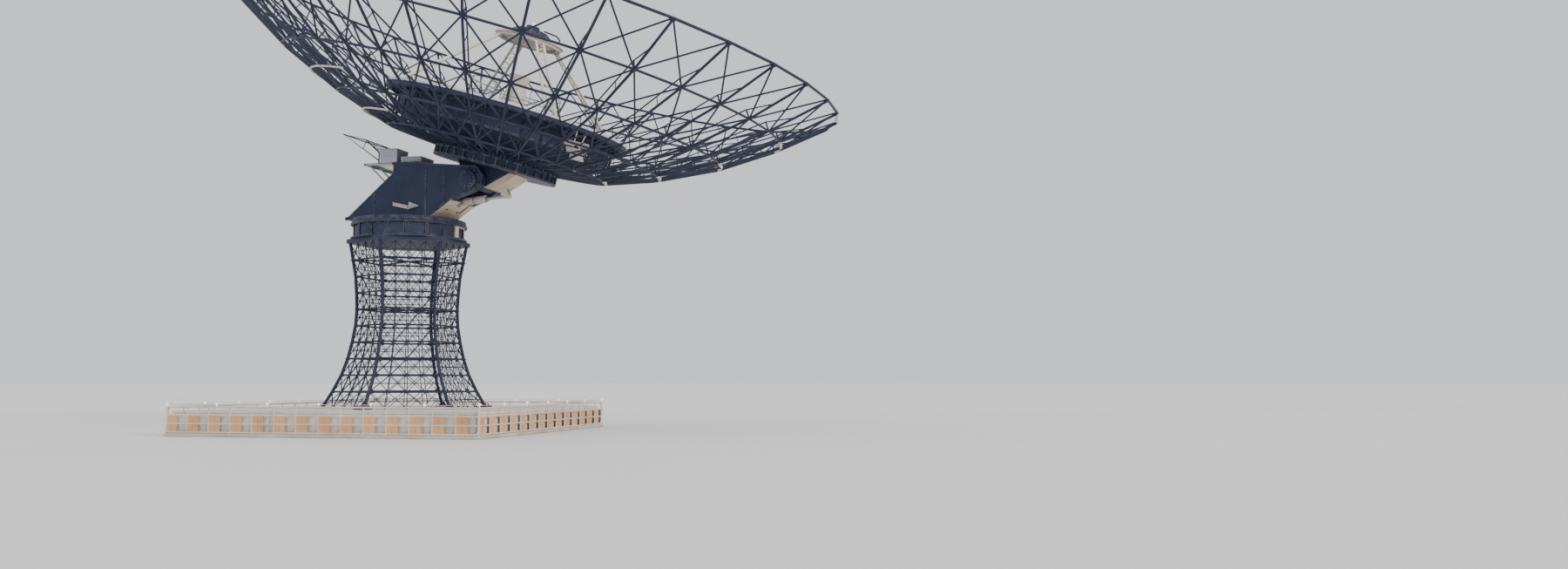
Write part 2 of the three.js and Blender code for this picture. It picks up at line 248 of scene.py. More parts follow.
def piece(name, draw, finish, body, replaces=None, bevel=0.0, args=()):
    """Draws a skin and makes it into an object on a body; the dish has its own frame."""
    material, slot = finish
    skin = Skin()
    draw(skin, *args)
    if body == "dish":
        skin.move(DISH)
    mesh = skin.mesh(name, material)
    mesh.shade_smooth()
    mesh.set_sharp_from_angle(angle=math.radians(38))
    made = place(name, mesh)
    if bevel:
        soften(made, bevel)
    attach(made, body)
    if replaces:
        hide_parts(replaces)


# Materials


class Recipe:
    """A node material under construction, with short calls for the nodes used here."""

    def __init__(self, name):
        self.material = bpy.data.materials.new(name)
        self.material.use_nodes = True
        self.tree = self.material.node_tree
        self.tree.nodes.clear()
        self.shader = self.node("ShaderNodeBsdfPrincipled")
        self.node("ShaderNodeOutputMaterial", Surface=self.shader.outputs["BSDF"])
        self.place = self.node("ShaderNodeTexCoord").outputs["Object"]

    def put(self, value, socket):
        """Gives a socket a link, a number or an (r, g, b) colour."""
        if isinstance(value, bpy.types.NodeSocket):
            self.tree.links.new(value, socket)
        elif isinstance(value, (tuple, list)):
            socket.default_value = (*value, 1.0)
        else:
            socket.default_value = value

    def node(self, kind, **values):
        """Adds a node; an underscore in the name of an input stands for a space."""
        made = self.tree.nodes.new(kind)
        for name, value in values.items():
            self.put(value, made.inputs[name.replace("_", " ")])
        return made

    def noise(self, scale, detail=4.0, roughness=0.55, stretch=(1, 1, 1)):
        mapping = self.node("ShaderNodeMapping", Vector=self.place)
        mapping.inputs["Scale"].default_value = stretch
        place = mapping.outputs["Vector"]
        made = self.node("ShaderNodeTexNoise", Vector=place, Scale=scale, Detail=detail, Roughness=roughness)
        return made.outputs[0]

    def spread(self, value, low, high, to_low=0.0, to_high=1.0):
        """Maps the range from low to high onto the range from to_low to to_high."""
        made = self.node("ShaderNodeMapRange", Value=value, From_Min=low, From_Max=high,
                         To_Min=to_low, To_Max=to_high)
        return made.outputs["Result"]

    def mix(self, factor, first, second):
        """Blends two colours; each is a socket or an (r, g, b) triple."""
        made = self.node("ShaderNodeMix")
        made.data_type = "RGBA"
        for value, index in ((factor, 0), (first, 6), (second, 7)):
            self.put(value, made.inputs[index])
        return made.outputs[2]

    def over(self, below, above, value, low, high, amount=1.0):
        """Lays one colour over another where the value climbs from low to high."""
        return self.mix(self.spread(value, low, high, 0.0, amount), below, above)

    def combine(self, first, second, operation="MULTIPLY"):
        made = self.node("ShaderNodeMath")
        made.operation = operation
        self.put(first, made.inputs[0])
        self.put(second, made.inputs[1])
        return made.outputs[0]

    def edges(self, radius):
        """1 along the outer edges of the shape, 0 on its faces."""
        soft = self.node("ShaderNodeBevel", Radius=radius)
        soft.samples = 4
        plain = self.node("ShaderNodeNewGeometry")
        dot = self.node("ShaderNodeVectorMath")
        dot.operation = "DOT_PRODUCT"
        self.put(soft.outputs["Normal"], dot.inputs[0])
        self.put(plain.outputs["Normal"], dot.inputs[1])
        return self.spread(dot.outputs["Value"], 0.98, 0.8)

    def height(self):
        return self.node("ShaderNodeSeparateXYZ", Vector=self.place).outputs["Z"]

    def bump(self, value, strength, distance):
        made = self.node("ShaderNodeBump", Height=value, Strength=strength, Distance=distance)
        self.put(made.outputs["Normal"], self.shader.inputs["Normal"])

    def finish(self, colour, roughness, metallic=0.0, coat=0.0):
        values = {"Base Color": colour, "Roughness": roughness, "Metallic": metallic, "Coat Weight": coat}
        for name, value in values.items():
            self.put(value, self.shader.inputs[name])
        return self.material


RUST = (0.19, 0.07, 0.03)
DUST = (0.36, 0.31, 0.25)
STEEL = (0.45, 0.46, 0.48)


def painted(name, slot, deep, pale, rust=0.5, gloss=0.45, wear=0.0, dust=0.4, shine=0.5):
    """Weathered paint: clouded colour, dust streaks, rust blooms and, if asked, worn edges."""
    recipe = Recipe(name)
    clouds = recipe.noise(0.9, 5.0)
    grain = recipe.noise(38.0, 6.0, 0.7)
    streaks = recipe.noise(3.0, 6.0, 0.65, (3.0, 3.0, 0.35))
    blooms = recipe.noise(4.5, 9.0, 0.72)
    colour = recipe.over(deep, pale, clouds, 0.35, 0.65)
    colour = recipe.over(colour, [c * 0.6 for c in deep], grain, 0.3, 0.75, 0.35)
    colour = recipe.over(colour, DUST, streaks, 0.56, 0.78, dust)
    colour = recipe.over(colour, RUST, blooms, 0.72 - 0.12 * rust, 0.8 - 0.12 * rust)
    if wear:
        worn = recipe.combine(recipe.edges(wear), recipe.spread(blooms, 0.42, 0.58))
        colour = recipe.mix(worn, colour, STEEL)
    rough = recipe.combine(recipe.spread(grain, 0.25, 0.75, gloss - 0.08, gloss + 0.15),
                           recipe.spread(streaks, 0.5, 0.8, 0.0, 0.2), "ADD")
    recipe.bump(recipe.combine(grain, recipe.spread(blooms, 0.45, 0.8, 0.4, 2.2)), 0.25, 0.004)
    recipe.put(shine, recipe.shader.inputs["Specular IOR Level"])
    return recipe.finish(colour, rough), slot


def concrete(name, slot, deep, pale):
    """White paint over concrete: stains, rain streaks, pits and a dirty foot."""
    recipe = Recipe(name)
    clouds = recipe.noise(0.7, 6.0)
    pits = recipe.noise(24.0, 8.0, 0.75)
    streaks = recipe.noise(2.2, 7.0, 0.7, (2.6, 2.6, 0.3))
    colour = recipe.over(deep, pale, clouds, 0.3, 0.7)
    colour = recipe.over(colour, (0.4, 0.37, 0.32), streaks, 0.5, 0.75, 0.65)
    near_ground = recipe.spread(recipe.height(), 0.35, 0.02)
    foot = recipe.combine(near_ground, recipe.spread(clouds, 0.3, 0.6, 0.4, 1.0))
    colour = recipe.mix(foot, colour, (0.3, 0.26, 0.2))
    colour = recipe.over(colour, (0.35, 0.33, 0.3), pits, 0.62, 0.75, 0.6)
    recipe.bump(pits, 0.4, 0.01)
    return recipe.finish(colour, recipe.spread(pits, 0.3, 0.7, 0.65, 0.9)), slot


def greased(name, slot):
    """Turned steel with grease: fine rings across the shaft and brown smears."""
    recipe = Recipe(name)
    fine = recipe.noise(60.0, 3.0, 0.5, (4.0, 1.0, 1.0))
    smears = recipe.noise(5.0, 5.0)
    colour = recipe.over((0.42, 0.43, 0.45), (0.62, 0.62, 0.63), fine, 0.3, 0.7)
    colour = recipe.over(colour, (0.2, 0.15, 0.09), smears, 0.5, 0.7, 0.7)
    recipe.bump(fine, 0.15, 0.002)
    return recipe.finish(colour, recipe.spread(smears, 0.35, 0.7, 0.25, 0.5), metallic=1.0), slot


def lens(name, slot):
    """The frosted glass of a small lamp."""
    recipe = Recipe(name)
    frost = recipe.noise(60.0, 3.0)
    colour = recipe.over((0.85, 0.82, 0.74), (0.95, 0.93, 0.88), frost, 0.3, 0.7)
    recipe.put((1.0, 0.9, 0.72), recipe.shader.inputs["Emission Color"])
    recipe.put(0.6, recipe.shader.inputs["Emission Strength"])
    return recipe.finish(colour, recipe.spread(frost, 0.3, 0.7, 0.15, 0.35), coat=0.5), slot


def floor_material():
    recipe = Recipe("pale_floor")
    clouds = recipe.noise(0.05, 3.0)
    colour = recipe.over((0.76, 0.75, 0.74), (0.8, 0.79, 0.78), clouds, 0.3, 0.7)
    return recipe.finish(colour, recipe.spread(clouds, 0.3, 0.7, 0.75, 0.85))


# A finish is a material with the slot that it stands for.
NAVY = painted("navy_steel", "dark_steel", (0.014, 0.019, 0.042), (0.027, 0.034, 0.066),
               rust=0.3, dust=0.12, shine=0.22)
NAVY_PLATE = painted("navy_plate", "dark_steel", (0.016, 0.022, 0.055), (0.03, 0.04, 0.085),
                     rust=0.22, wear=0.02, dust=0.1, shine=0.22)
# CREAM also serves as painted highlight on the ring sleeves and the louvres; CREAM_PLATE_AND_HIGHLIGHT also
# serves as painted highlight on the hatch frame, the hood lips and the front cover.
CREAM = painted("cream_paint", "cream_paint", (0.56, 0.52, 0.43), (0.7, 0.66, 0.56), rust=0.1)
CREAM_PLATE_AND_HIGHLIGHT = painted("cream_plate_and_highlight", "cream_paint", (0.58, 0.47, 0.34), (0.7, 0.58, 0.43),
                      rust=0.25, wear=0.015)
TAN = painted("tan_slats", "fence_paint", (0.5, 0.25, 0.11), (0.64, 0.37, 0.18), rust=0.45, wear=0.008)
PINK_RAIL = painted("pale_rail", "fence_paint", (0.56, 0.44, 0.36), (0.68, 0.56, 0.47), rust=0.4)
GREY = painted("grey_paint", "grey_paint", (0.25, 0.26, 0.31), (0.36, 0.37, 0.43), rust=0.4, wear=0.012)
GREY_TUBE = painted("grey_tube", "grey_paint", (0.3, 0.31, 0.35), (0.42, 0.43, 0.47), rust=0.3)
MIRROR_PAINT = painted("mirror_paint", "cream_paint", (0.72, 0.63, 0.54), (0.82, 0.73, 0.64),
                       rust=0.02, dust=0.1)
# Paler paint for the band on the disc's upper edge: painted highlight, standing in for light along the rim.
RIM_HIGHLIGHT_PAINT = painted("rim_painted_highlight", "grey_paint", (0.5, 0.5, 0.56), (0.64, 0.64, 0.7), rust=0.2, dust=0.2)
WHITE = concrete("white_plinth", "white_paint", (0.55, 0.54, 0.53), (0.74, 0.73, 0.71))
SCREW_STEEL = greased("greased_steel", "bare_steel")
LENS = lens("lamp_glass", "white_paint")
WHITE_SLEEVE = (CREAM[0], "white_paint")
DARK_HOUSING = (GREY[0], "dark_steel")


# Plinth and fence

PLINTH_HALF = 5.78
PLINTH_TOP = 0.9
COPING_LOW = 0.82
LEDGE_HALF = 5.96
LEDGE_TOP = 0.12
BLOCKS = 6
OPEN_JOINT = 0.03
FENCE_LINE = 5.9
FENCE_LOW = LEDGE_TOP + 0.0005
FENCE_TOP = 1.04
FENCE_BAYS = 14
FENCE_LAMPS = 6
POST_HALF = 0.03
MIDDLE_RAILS = (0.755, 0.455)
WIRE_HEIGHT = 1.13
LAMP_HEIGHT = 1.15
# Low and high edges of the two rows of slats, and the ends of the two slats in a bay.
SLAT_ROWS = ((0.178, 0.438), (0.472, 0.735))
SLAT_ENDS = ((0.02, 0.225), (0.233, 0.44))


def plinth(skin):
    """A low ledge, a wall of blocks with open joints and a coping slab."""
    box(skin, (-LEDGE_HALF, -LEDGE_HALF, 0), (LEDGE_HALF, LEDGE_HALF, LEDGE_TOP))
    core = PLINTH_HALF - OPEN_JOINT
    box(skin, (-core, -core, LEDGE_TOP - 0.02), (core, core, COPING_LOW + 0.01))
    box(skin, (-PLINTH_HALF, -PLINTH_HALF, COPING_LOW), (PLINTH_HALF, PLINTH_HALF, PLINTH_TOP))
    width = 2 * PLINTH_HALF / BLOCKS
    for side in range(4):
        for i in range(BLOCKS):
            x = i * width - PLINTH_HALF
            low = (x + OPEN_JOINT / 2, -PLINTH_HALF, LEDGE_TOP)
            high = (x + width - OPEN_JOINT / 2, 0.02 - core, COPING_LOW - 0.02)
            box(skin, low, high, turn(90 * side))


def fence_rails(skin, reach):
    """The fence's rounded frame, its middle rails, top wire and posts."""
    end = reach - POST_HALF
    outline = [(x, 0, z) for x, z in rounded(-end, end, 0.155, FENCE_TOP, 0.12)]
    pipe(skin, outline, 0.034, 10, closed=True)
    for z in MIDDLE_RAILS:
        tube(skin, (-end, 0, z), (end, 0, z), 0.027)
    tube(skin, (-end, 0, WIRE_HEIGHT), (end, 0, WIRE_HEIGHT), 0.009, 6)
    for i in range(FENCE_BAYS + 1):
        x = min(max(reach * (2 * i / FENCE_BAYS - 1), -end), end)
        tube(skin, (x, 0, FENCE_LOW), (x, 0, FENCE_TOP), 0.024)
        box(skin, (x - POST_HALF, -0.029, FENCE_LOW), (x + POST_HALF, 0.029, LEDGE_TOP + 0.012))


def fence_slats(skin, reach):
    """Two rows of two slats in each bay, with a batten behind each row."""
    for i in range(FENCE_BAYS):
        x = reach * (2 * i / FENCE_BAYS - 1)
        for low, high in SLAT_ROWS:
            for start, end in SLAT_ENDS:
                box(skin, (x + start, -0.012, low), (x + end, 0.008, high))
            box(skin, (x + 0.03, 0.006, low + 0.09), (x + 0.43, 0.024, high - 0.09))


def fence_lamps(skin, reach):
    end = reach - POST_HALF
    for i in range(FENCE_LAMPS):
        x = end * (2 * i / FENCE_LAMPS - 1)
        tube(skin, (x, 0, FENCE_TOP + 0.02), (x, 0, LAMP_HEIGHT - 0.035), 0.018)
        ball(skin, (x, 0, LAMP_HEIGHT), 0.05)


def fence_side(skin, draw, index):
    """Part of one side of the fence, drawn along X; two sides stop short of the other two."""
    draw(skin, FENCE_LINE - POST_HALF if index % 2 else FENCE_LINE + POST_HALF)
    skin.move(turn(90 * index) @ shift(0, -FENCE_LINE, 0))


# Tower

TOWER_LOW = PLINTH_TOP + GAP
TOWER_HIGH = 7.25
TOWER_BAYS = 10
PANELS = 4
STIFF_LEVELS = (3, 6, 9)
# Height and distance of a post's centre from the axis.
WAIST = [(0.9, 3.06), (1.43, 2.74), (2.1, 2.4), (3.0, 2.1), (4.0, 1.92), (4.83, 1.87), (6.0, 1.96),
         (7.25, 2.18)]
# Radii of the tower's bars.
POST_BAR = 0.062
LEVEL_BAR = 0.034
TIE_BAR = 0.03
PANEL_POST = 0.017
HALF_BAR = 0.015
CROSS_BAR = 0.014


def tower_radius(z):
    for (z0, r0), (z1, r1) in zip(WAIST, WAIST[1:]):
        if z <= z1:
            return r0 + (r1 - r0) * (z - z0) / (z1 - z0)
    return WAIST[-1][1]


def post_angle(post):
    return 30 + 60 * post


def tower_node(post, level):
    z = TOWER_LOW + (TOWER_HIGH - TOWER_LOW) * level / TOWER_BAYS
    return polar(tower_radius(z), post_angle(post), z)


def tower_gusset(skin, corner, along, up):
    """A thin plate in the plane of a tower face, at one end of a level's bar."""
    outline = [(0.02, -0.08), (0.13, -0.04), (0.13, 0.04), (0.02, 0.08)]
    plate(skin, outline, -0.008, 0.008, axes(corner, along, up))


def tower_panels(skin, k, level):
    """The thin crossed bars of one bay, and its bar at half height."""
    low, high = ([tower_node(k, row).lerp(tower_node(k + 1, row), j / PANELS) for j in range(PANELS + 1)]
                 for row in (level, level + 1))
    for j in range(PANELS):
        tube(skin, low[j], high[j + 1], CROSS_BAR, 6)
        tube(skin, low[j + 1], high[j], CROSS_BAR, 6)
    for j in range(1, PANELS):
        tube(skin, low[j], high[j], PANEL_POST, 6)
    tube(skin, low[0].lerp(high[0], 0.5), low[-1].lerp(high[-1], 0.5), HALF_BAR, 6)


def tower_foot(skin, k):
    """A square base plate with four bolts and four fins."""
    thick = 0.035
    at = shift(*tower_node(k, 0)) @ turn(post_angle(k))
    box(skin, (-0.24, -0.24, 0), (0.24, 0.24, thick), at)
    for x in (-0.19, 0.19):
        for y in (-0.19, 0.19):
            bolt(skin, at @ shift(x, y, thick), 0.028, 0.035)
    for i in range(4):
        upright = at @ turn(90 * i) @ UPRIGHT
        plate(skin, [(0.05, 0.03), (0.2, 0.03), (0.05, 0.2)], -0.01, 0.01, upright)


def tower_face(skin, k):
    """Post k, and the bracing between it and the next post."""
    pipe(skin, [tower_node(k, level) for level in range(TOWER_BAYS + 1)], POST_BAR, 12)
    for level in range(1, TOWER_BAYS):
        a, b = tower_node(k, level), tower_node(k + 1, level)
        along = (b - a).normalized()
        up = (tower_node(k, level + 1) - a).normalized()
        tube(skin, a, b, LEVEL_BAR)
        tower_gusset(skin, a + along * 0.05, along, up)
        tower_gusset(skin, b - along * 0.05, -along, up)
    for level in range(TOWER_BAYS):
        tower_panels(skin, k, level)
    for level in STIFF_LEVELS:
        disc(skin, 0.095, -0.02, 0.02, 16, shift(*tower_node(k, level)))
    tower_foot(skin, k)


def tower_ties(skin):
    """Level ties between opposite posts, inside the tower."""
    for level in STIFF_LEVELS:
        for k in range(3):
            tube(skin, tower_node(k, level), tower_node(k + 3, level), TIE_BAR)


# Azimuth drum and head plate

DRUM_LOW = 7.42 + GAP
DRUM_FLANGE = 2.2
DRUM_WALL = 2.02
DRUM_BAYS = 18
DRUM_BOLTS = 54
WALL_LOW = DRUM_LOW + 0.07
WALL_HIGH = 7.96
DRUM_TOP = 8.0455
HEAD_RADIUS = 2.15
HEAD_LOW = 8.046
HEAD_TOP = 8.2
# The hatch's two sides, in degrees about the drum.
HATCH = (-4.0, 16.0)
HATCH_LOW = WALL_LOW + 0.002
HATCH_HIGH = WALL_HIGH - 0.002


def drum(skin):
    """A wall between two flanges, with panels between upright ribs; one bay is the hatch."""
    profile = [(0, DRUM_LOW), *rim(DRUM_FLANGE, DRUM_LOW, WALL_LOW), (DRUM_WALL, WALL_LOW),
               (DRUM_WALL, WALL_HIGH), *rim(DRUM_FLANGE, WALL_HIGH, WALL_HIGH + 0.08),
               (1.9, WALL_HIGH + 0.08), (1.9, DRUM_TOP), (0, DRUM_TOP)]
    turned(skin, profile, 120)
    width = 360 / DRUM_BAYS
    for i in range(DRUM_BAYS):
        start = HATCH[0] + i * width
        if i > 0:
            wall_block(skin, 2.0, 2.06, start + 3.2, start + width - 3.2, WALL_LOW + 0.05, WALL_HIGH - 0.05)
        wall_block(skin, 2.0, 2.1, start - 1.6, start + 1.6, WALL_LOW - 0.005, WALL_HIGH + 0.005, 2)
    ring_of_bolts(skin, DRUM_BOLTS, 2.15, WALL_LOW)
    ring_of_bolts(skin, DRUM_BOLTS, 2.15, -WALL_HIGH, at=UPSIDE_DOWN)


# The hatch's jambs and lintel in pale paint: painted highlight, standing in for light from the right on the
# hatch's edges.
def hatch_frame_highlight(skin):
    wall_block(skin, DRUM_WALL, 2.125, HATCH[0] - 3.4, HATCH[0] + 2.2, HATCH_LOW, HATCH_HIGH, 3)
    wall_block(skin, DRUM_WALL, 2.125, HATCH[1] - 1.4, HATCH[1] + 0.6, HATCH_LOW, HATCH_HIGH, 2)
    wall_block(skin, DRUM_WALL, 2.12, HATCH[0] + 2.0, HATCH[1] - 1.2, HATCH_HIGH - 0.05, HATCH_HIGH)


def hatch_door(skin):
    wall_block(skin, DRUM_WALL, 2.045, HATCH[0] + 3.5, HATCH[1] - 2.5, HATCH_LOW + 0.03, HATCH_HIGH - 0.08)
    tube(skin, polar(2.075, 4, 7.68), polar(2.075, 4, 7.8), 0.012)
    for z in (7.69, 7.79):
        tube(skin, polar(2.04, 4, z), polar(2.078, 4, z), 0.01)


def head_plate(skin):
    """Two round plates with a groove between them."""
    groove = HEAD_RADIUS - 0.03
    profile = [(0, HEAD_LOW), (HEAD_RADIUS - 0.01, HEAD_LOW), (HEAD_RADIUS, HEAD_LOW + 0.01),
               (HEAD_RADIUS, 8.105), (groove, 8.11), (groove, 8.135), (HEAD_RADIUS, 8.14),
               (HEAD_RADIUS, HEAD_TOP - 0.01), (HEAD_RADIUS - 0.01, HEAD_TOP), (0, HEAD_TOP)]
    turned(skin, profile, 120)
    ring_of_bolts(skin, 60, 2.03, HEAD_TOP)


# Yoke and what it carries

YOKE_HALF = 1.0
YOKE_LOW = HEAD_TOP + GAP
YOKE_TOP = 10.4
SLOT_HALF = 0.62
YOKE_SIDE = [(-2.2, YOKE_LOW), (1.3, YOKE_LOW), (2.25, 8.88), (3.15, 9.2), (3.45, 9.42), (3.5, 9.8),
             (3.33, 10.08), (3.2, 10.15), (1.1, 10.33), (0.95, YOKE_TOP), (-0.2, YOKE_TOP), (-0.2, 9.99)]
# Top and foot of the upright stiffeners on each side.
STIFFENERS = (((-1.0, 9.2), (-1.0, 8.28)), ((1.15, 10.05), (1.15, 8.28)), ((1.9, 10.05), (1.9, 8.7)))
SHAFT_AT = (3.0, 9.6)


def on_side(sign, half=YOKE_HALF):
    """Takes a plate drawn in X and Z, its height outwards, onto the side wall at Y = sign * half."""
    at = Matrix(((1, 0, 0, 0), (0, 0, sign, 0), (0, 1, 0, 0), (0, 0, 0, 1)))
    return shift(0, sign * half, 0) @ at


def side_plates(skin, outline, low, high, half=YOKE_HALF, signs=(-1, 1)):
    """The same plate on both side walls, or on one of them."""
    for sign in signs:
        plate(skin, outline if sign < 0 else list(reversed(outline)), low, high, on_side(sign, half))


def strip(a, b, width):
    """A strip of that width on the inner side of the edge from a to b."""
    along = (Vector(b) - Vector(a)).normalized()
    x, y = -along.y * width, along.x * width
    return [a, b, (b[0] + x, b[1] + y), (a[0] + x, a[1] + y)]


def yoke_trim(skin):
    """Flanges round each side of the yoke, its stiffeners and a row of foot bolts."""
    for a, b in zip(YOKE_SIDE, YOKE_SIDE[1:] + YOKE_SIDE[:1]):
        side_plates(skin, strip(a, b, 0.11 if a[1] == b[1] == YOKE_LOW else 0.06), 0, 0.022)
    for top, foot in STIFFENERS:
        side_plates(skin, strip(top, foot, 0.05), 0, 0.016)
    for sign in (-1, 1):
        bolt_row(skin, on_side(sign), (-1.9, 8.255, 0.022), (1.145, 8.255, 0.022), 22, 0.022, 0.02)


def slope_frame():
    """The yoke's sloping front face as a frame, with Y up the slope and Z out, and its length."""
    low, high = (Vector((x, 0, z)) for x, z in YOKE_SIDE[1:3])
    return axes(low, ACROSS, (high - low).normalized()), (high - low).length


def front_cover_highlight(skin):
    """Pale cover plates on the sloping front face, beside and below the jack's opening; their cream paint is
    a painted highlight, standing in for the warm light that falls on this face.
    """
    at, length = slope_frame()
    low, top, notch = 0.03, length - 0.02, 0.59
    thick, raised = 0.02, 0.026
    inset = 0.035
    edge, side = YOKE_HALF - 0.01, SLOT_HALF + 0.01
    for x0, x1, high in ((-edge, -side, top), (side, edge, top), (-side - 0.001, side + 0.001, notch)):
        box(skin, (x0, low, 0), (x1, high, thick), at)
        box(skin, (x0 + inset, low + inset, 0.018), (x1 - inset, high - inset, raised), at)
    for x in (0.02 - edge, edge - 0.02):
        bolt_row(skin, at, (x, 0.08, thick), (x, top - 0.05, thick), 8, 0.014, 0.012)
    bolt_row(skin, at, (0.04 - side, 0.047, thick), (side - 0.04, 0.047, thick), 13, 0.012, 0.012)


def jack_shield(skin):
    """The pale shield that swings with the jack, its lower edge tucked behind the cover."""
    at, length = slope_frame()
    low, high = 0.56, length - 0.02
    recess, fork = 0.65, 0.89
    right = [(0.36, low), (0.36, recess), (0.51, recess), (0.51, low), (0.59, low), (0.59, high),
             (0.175, high), (0.175, fork)]
    plate(skin, right + [(-x, y) for x, y in reversed(right)], -0.03, -0.012, at)
    for x0, x1 in ((-0.56, -0.205), (0.205, 0.56)):
        box(skin, (x0, fork, -0.014), (x1, high - 0.03, -0.005), at)
    for x in (-0.55, 0.55):
        box(skin, (x - 0.012, low + 0.02, -0.12), (x + 0.012, high - 0.05, -0.025), at)


def hood_lips_highlight(skin):
    """A pale sloping lip on each side of the yoke; its cream paint is a painted highlight, standing in for
    light inside the hood's opening.
    """
    side_plates(skin, [(-0.15, 8.69), (0.45, 8.55), (0.47, 8.67), (-0.15, 8.81)], 0, 0.07)
    side_plates(skin, [(-0.15, 8.795), (0.47, 8.655), (0.47, 8.685), (-0.15, 8.825)], 0, 0.1)


def hood_ends(skin):
    """The grey pointed end of each lip."""
    side_plates(skin, [(0.46, 8.52), (0.95, 8.66), (0.52, 8.83)], 0, 0.07)
    side_plates(skin, [(0.5, 8.575), (0.82, 8.665), (0.545, 8.775)], 0.06, 0.085)


def side_doors(skin):
    """A door and three vents on the yoke's far side."""
    flat = [(rounded(-0.86, -0.28, 8.4, 9.24, 0.06), 0, 0.025),
            (rounded(-0.81, -0.33, 8.45, 9.19, 0.05), 0.02, 0.035)]
    flat += [(rounded(x - 0.09, x + 0.09, 9.5, 9.85, 0.04), 0, 0.02) for x in (0.2, 0.5, 0.8)]
    for outline, low, high in flat:
        side_plates(skin, outline, low, high, signs=(1,))
    hinge = YOKE_HALF + 0.045
    for z in (8.6, 9.05):
        tube(skin, (-0.87, hinge, z - 0.06), (-0.87, hinge, z + 0.06), 0.018)
    handle = [(0.03, 8.75), (0.07, 8.76), (0.07, 8.94), (0.03, 8.95)]
    pipe(skin, [(-0.38, YOKE_HALF + out, z) for out, z in handle], 0.01)


def bearing(skin, sign):
    """The shaft's stepped housing outside one arm of the yoke."""
    at = shift(SHAFT_AT[0], sign * (YOKE_HALF + GAP), SHAFT_AT[1]) @ sideways(sign)
    profile = [(0, 0), (0.43, 0), (0.43, 0.06), (0.36, 0.08), (0.34, 0.2), (0.31, 0.225), (0.31, 0.25),
               (0.22, 0.27), (0.2, 0.289), (0, 0.289)]
    turned(skin, profile, 48, at)
    ring_of_bolts(skin, 12, 0.395, 0.068, 0.022, at)
    ring_of_bolts(skin, 12, 0.265, 0.258, 0.014, at, start=15)


# Deck and what stands on the yoke

DECK_X = (-1.45, -0.2 - GAP)
DECK_HALF = 1.0
DECK_LOW = 10.31
DECK_TOP = 10.4
STANDING = DECK_TOP + GAP
FRAME_BAR = 0.024
# The deck's side frames, as (x, z) pairs from the deck's edge outwards and back.
FRAME_LINE = [(-0.85, 10.8), (-1.4, 11.32), (-2.4, 11.6), (-0.85, 10.5)]


def deck(skin):
    """A grating on a frame, with three struts below it."""
    x0, x1 = DECK_X
    frame_top = DECK_TOP - 0.03
    for y in (-DECK_HALF, -0.03, DECK_HALF - 0.06):
        box(skin, (x0, y, DECK_LOW), (x1, y + 0.06, frame_top))
    for x in (x0, x1 - 0.06):
        box(skin, (x, -DECK_HALF, DECK_LOW), (x + 0.06, DECK_HALF, frame_top))
    bars = 24
    for i in range(bars + 1):
        x = x0 + 0.004 + (x1 - x0 - 0.012) * i / bars
        box(skin, (x, -DECK_HALF, DECK_TOP - 0.04), (x + 0.008, DECK_HALF, DECK_TOP))
    for i in range(20):
        y = 0.05 + i * 0.1 - DECK_HALF
        box(skin, (x0, y - 0.003, DECK_TOP - 0.012), (x1, y + 0.003, DECK_TOP - 0.002))
    for y in (-0.85, 0, 0.85):
        tube(skin, (-1.3, y, DECK_LOW + 0.02), (-0.58, y, 9.63), 0.035)


def deck_brackets(skin):
    """Pale three-cornered brackets under the deck, each with a flange along its slope."""
    web = [(-0.85, DECK_LOW), (-0.2, 10.06), (-0.2, DECK_LOW)]
    flange = [(-0.86, DECK_LOW), (-0.86, DECK_LOW - 0.015), (-0.2, 10.045), (-0.2, 10.06)]
    for y in (-0.95, -0.4, 0.4, 0.95):
        plate(skin, web, y - 0.012, y + 0.012, UPRIGHT)
        plate(skin, flange, y - 0.05, y + 0.05, UPRIGHT)


def deck_rails(skin):
    """Side frames that rise outwards from the deck, joined by bars and rungs."""
    y = DECK_HALF - 0.04
    (foot_x, foot_z), (knee_x, knee_z) = FRAME_LINE[:2]
    for side in (-y, y):
        pipe(skin, [(x, side, z) for x, z in FRAME_LINE], FRAME_BAR)
        tube(skin, (foot_x, side, STANDING), (foot_x, side, foot_z + 0.02), FRAME_BAR)
        disc(skin, 0.05, 0, 0.014, 12, shift(foot_x, side, STANDING))
        tube(skin, (knee_x, side, knee_z), (-1.54, side, 10.99), 0.014)
    for x, z in FRAME_LINE[1:3]:
        tube(skin, (x, -y, z), (x, y, z), FRAME_BAR)
    for i in range(1, 7):
        x = foot_x + (knee_x - foot_x) * i / 7
        z = foot_z + (knee_z - foot_z) * i / 7
        tube(skin, (x, -y, z), (x, y, z), 0.012)


def cabinet(skin):
    """A steel cabinet with a lid, and two louvred doors on its rear."""
    x0, x1, y0, y1 = -0.82, -0.06, -1.0, -0.1
    low, high = STANDING, 10.95
    box(skin, (x0 + 0.02, y0 + 0.02, low), (x1 - 0.02, y1 - 0.02, high - 0.03))
    box(skin, (x0, y0, high - 0.035), (x1, y1, high))
    box(skin, (x0 + 0.01, y0 + 0.008, low + 0.26), (x1 - 0.01, y0 + 0.022, low + 0.28))
    middle = (y0 + y1) / 2
    for a, b in ((y0 + 0.05, middle - 0.01), (middle + 0.01, y1 - 0.05)):
        box(skin, (x0, a, low + 0.05), (x0 + 0.03, b, high - 0.06))
        for i in range(7):
            slat = shift(x0 + 0.002, 0, low + 0.1 + i * 0.022) @ turn(35, "Y")
            box(skin, (-0.012, a + 0.08, -0.002), (0.012, b - 0.08, 0.002), slat)
    handle = (low + 0.28, low + 0.38)
    for y in (middle - 0.06, middle + 0.06):
        tube(skin, (x0 - 0.018, y, handle[0]), (x0 - 0.018, y, handle[1]), 0.008)
        for z in handle:
            tube(skin, (x0 + 0.005, y, z), (x0 - 0.02, y, z), 0.007)


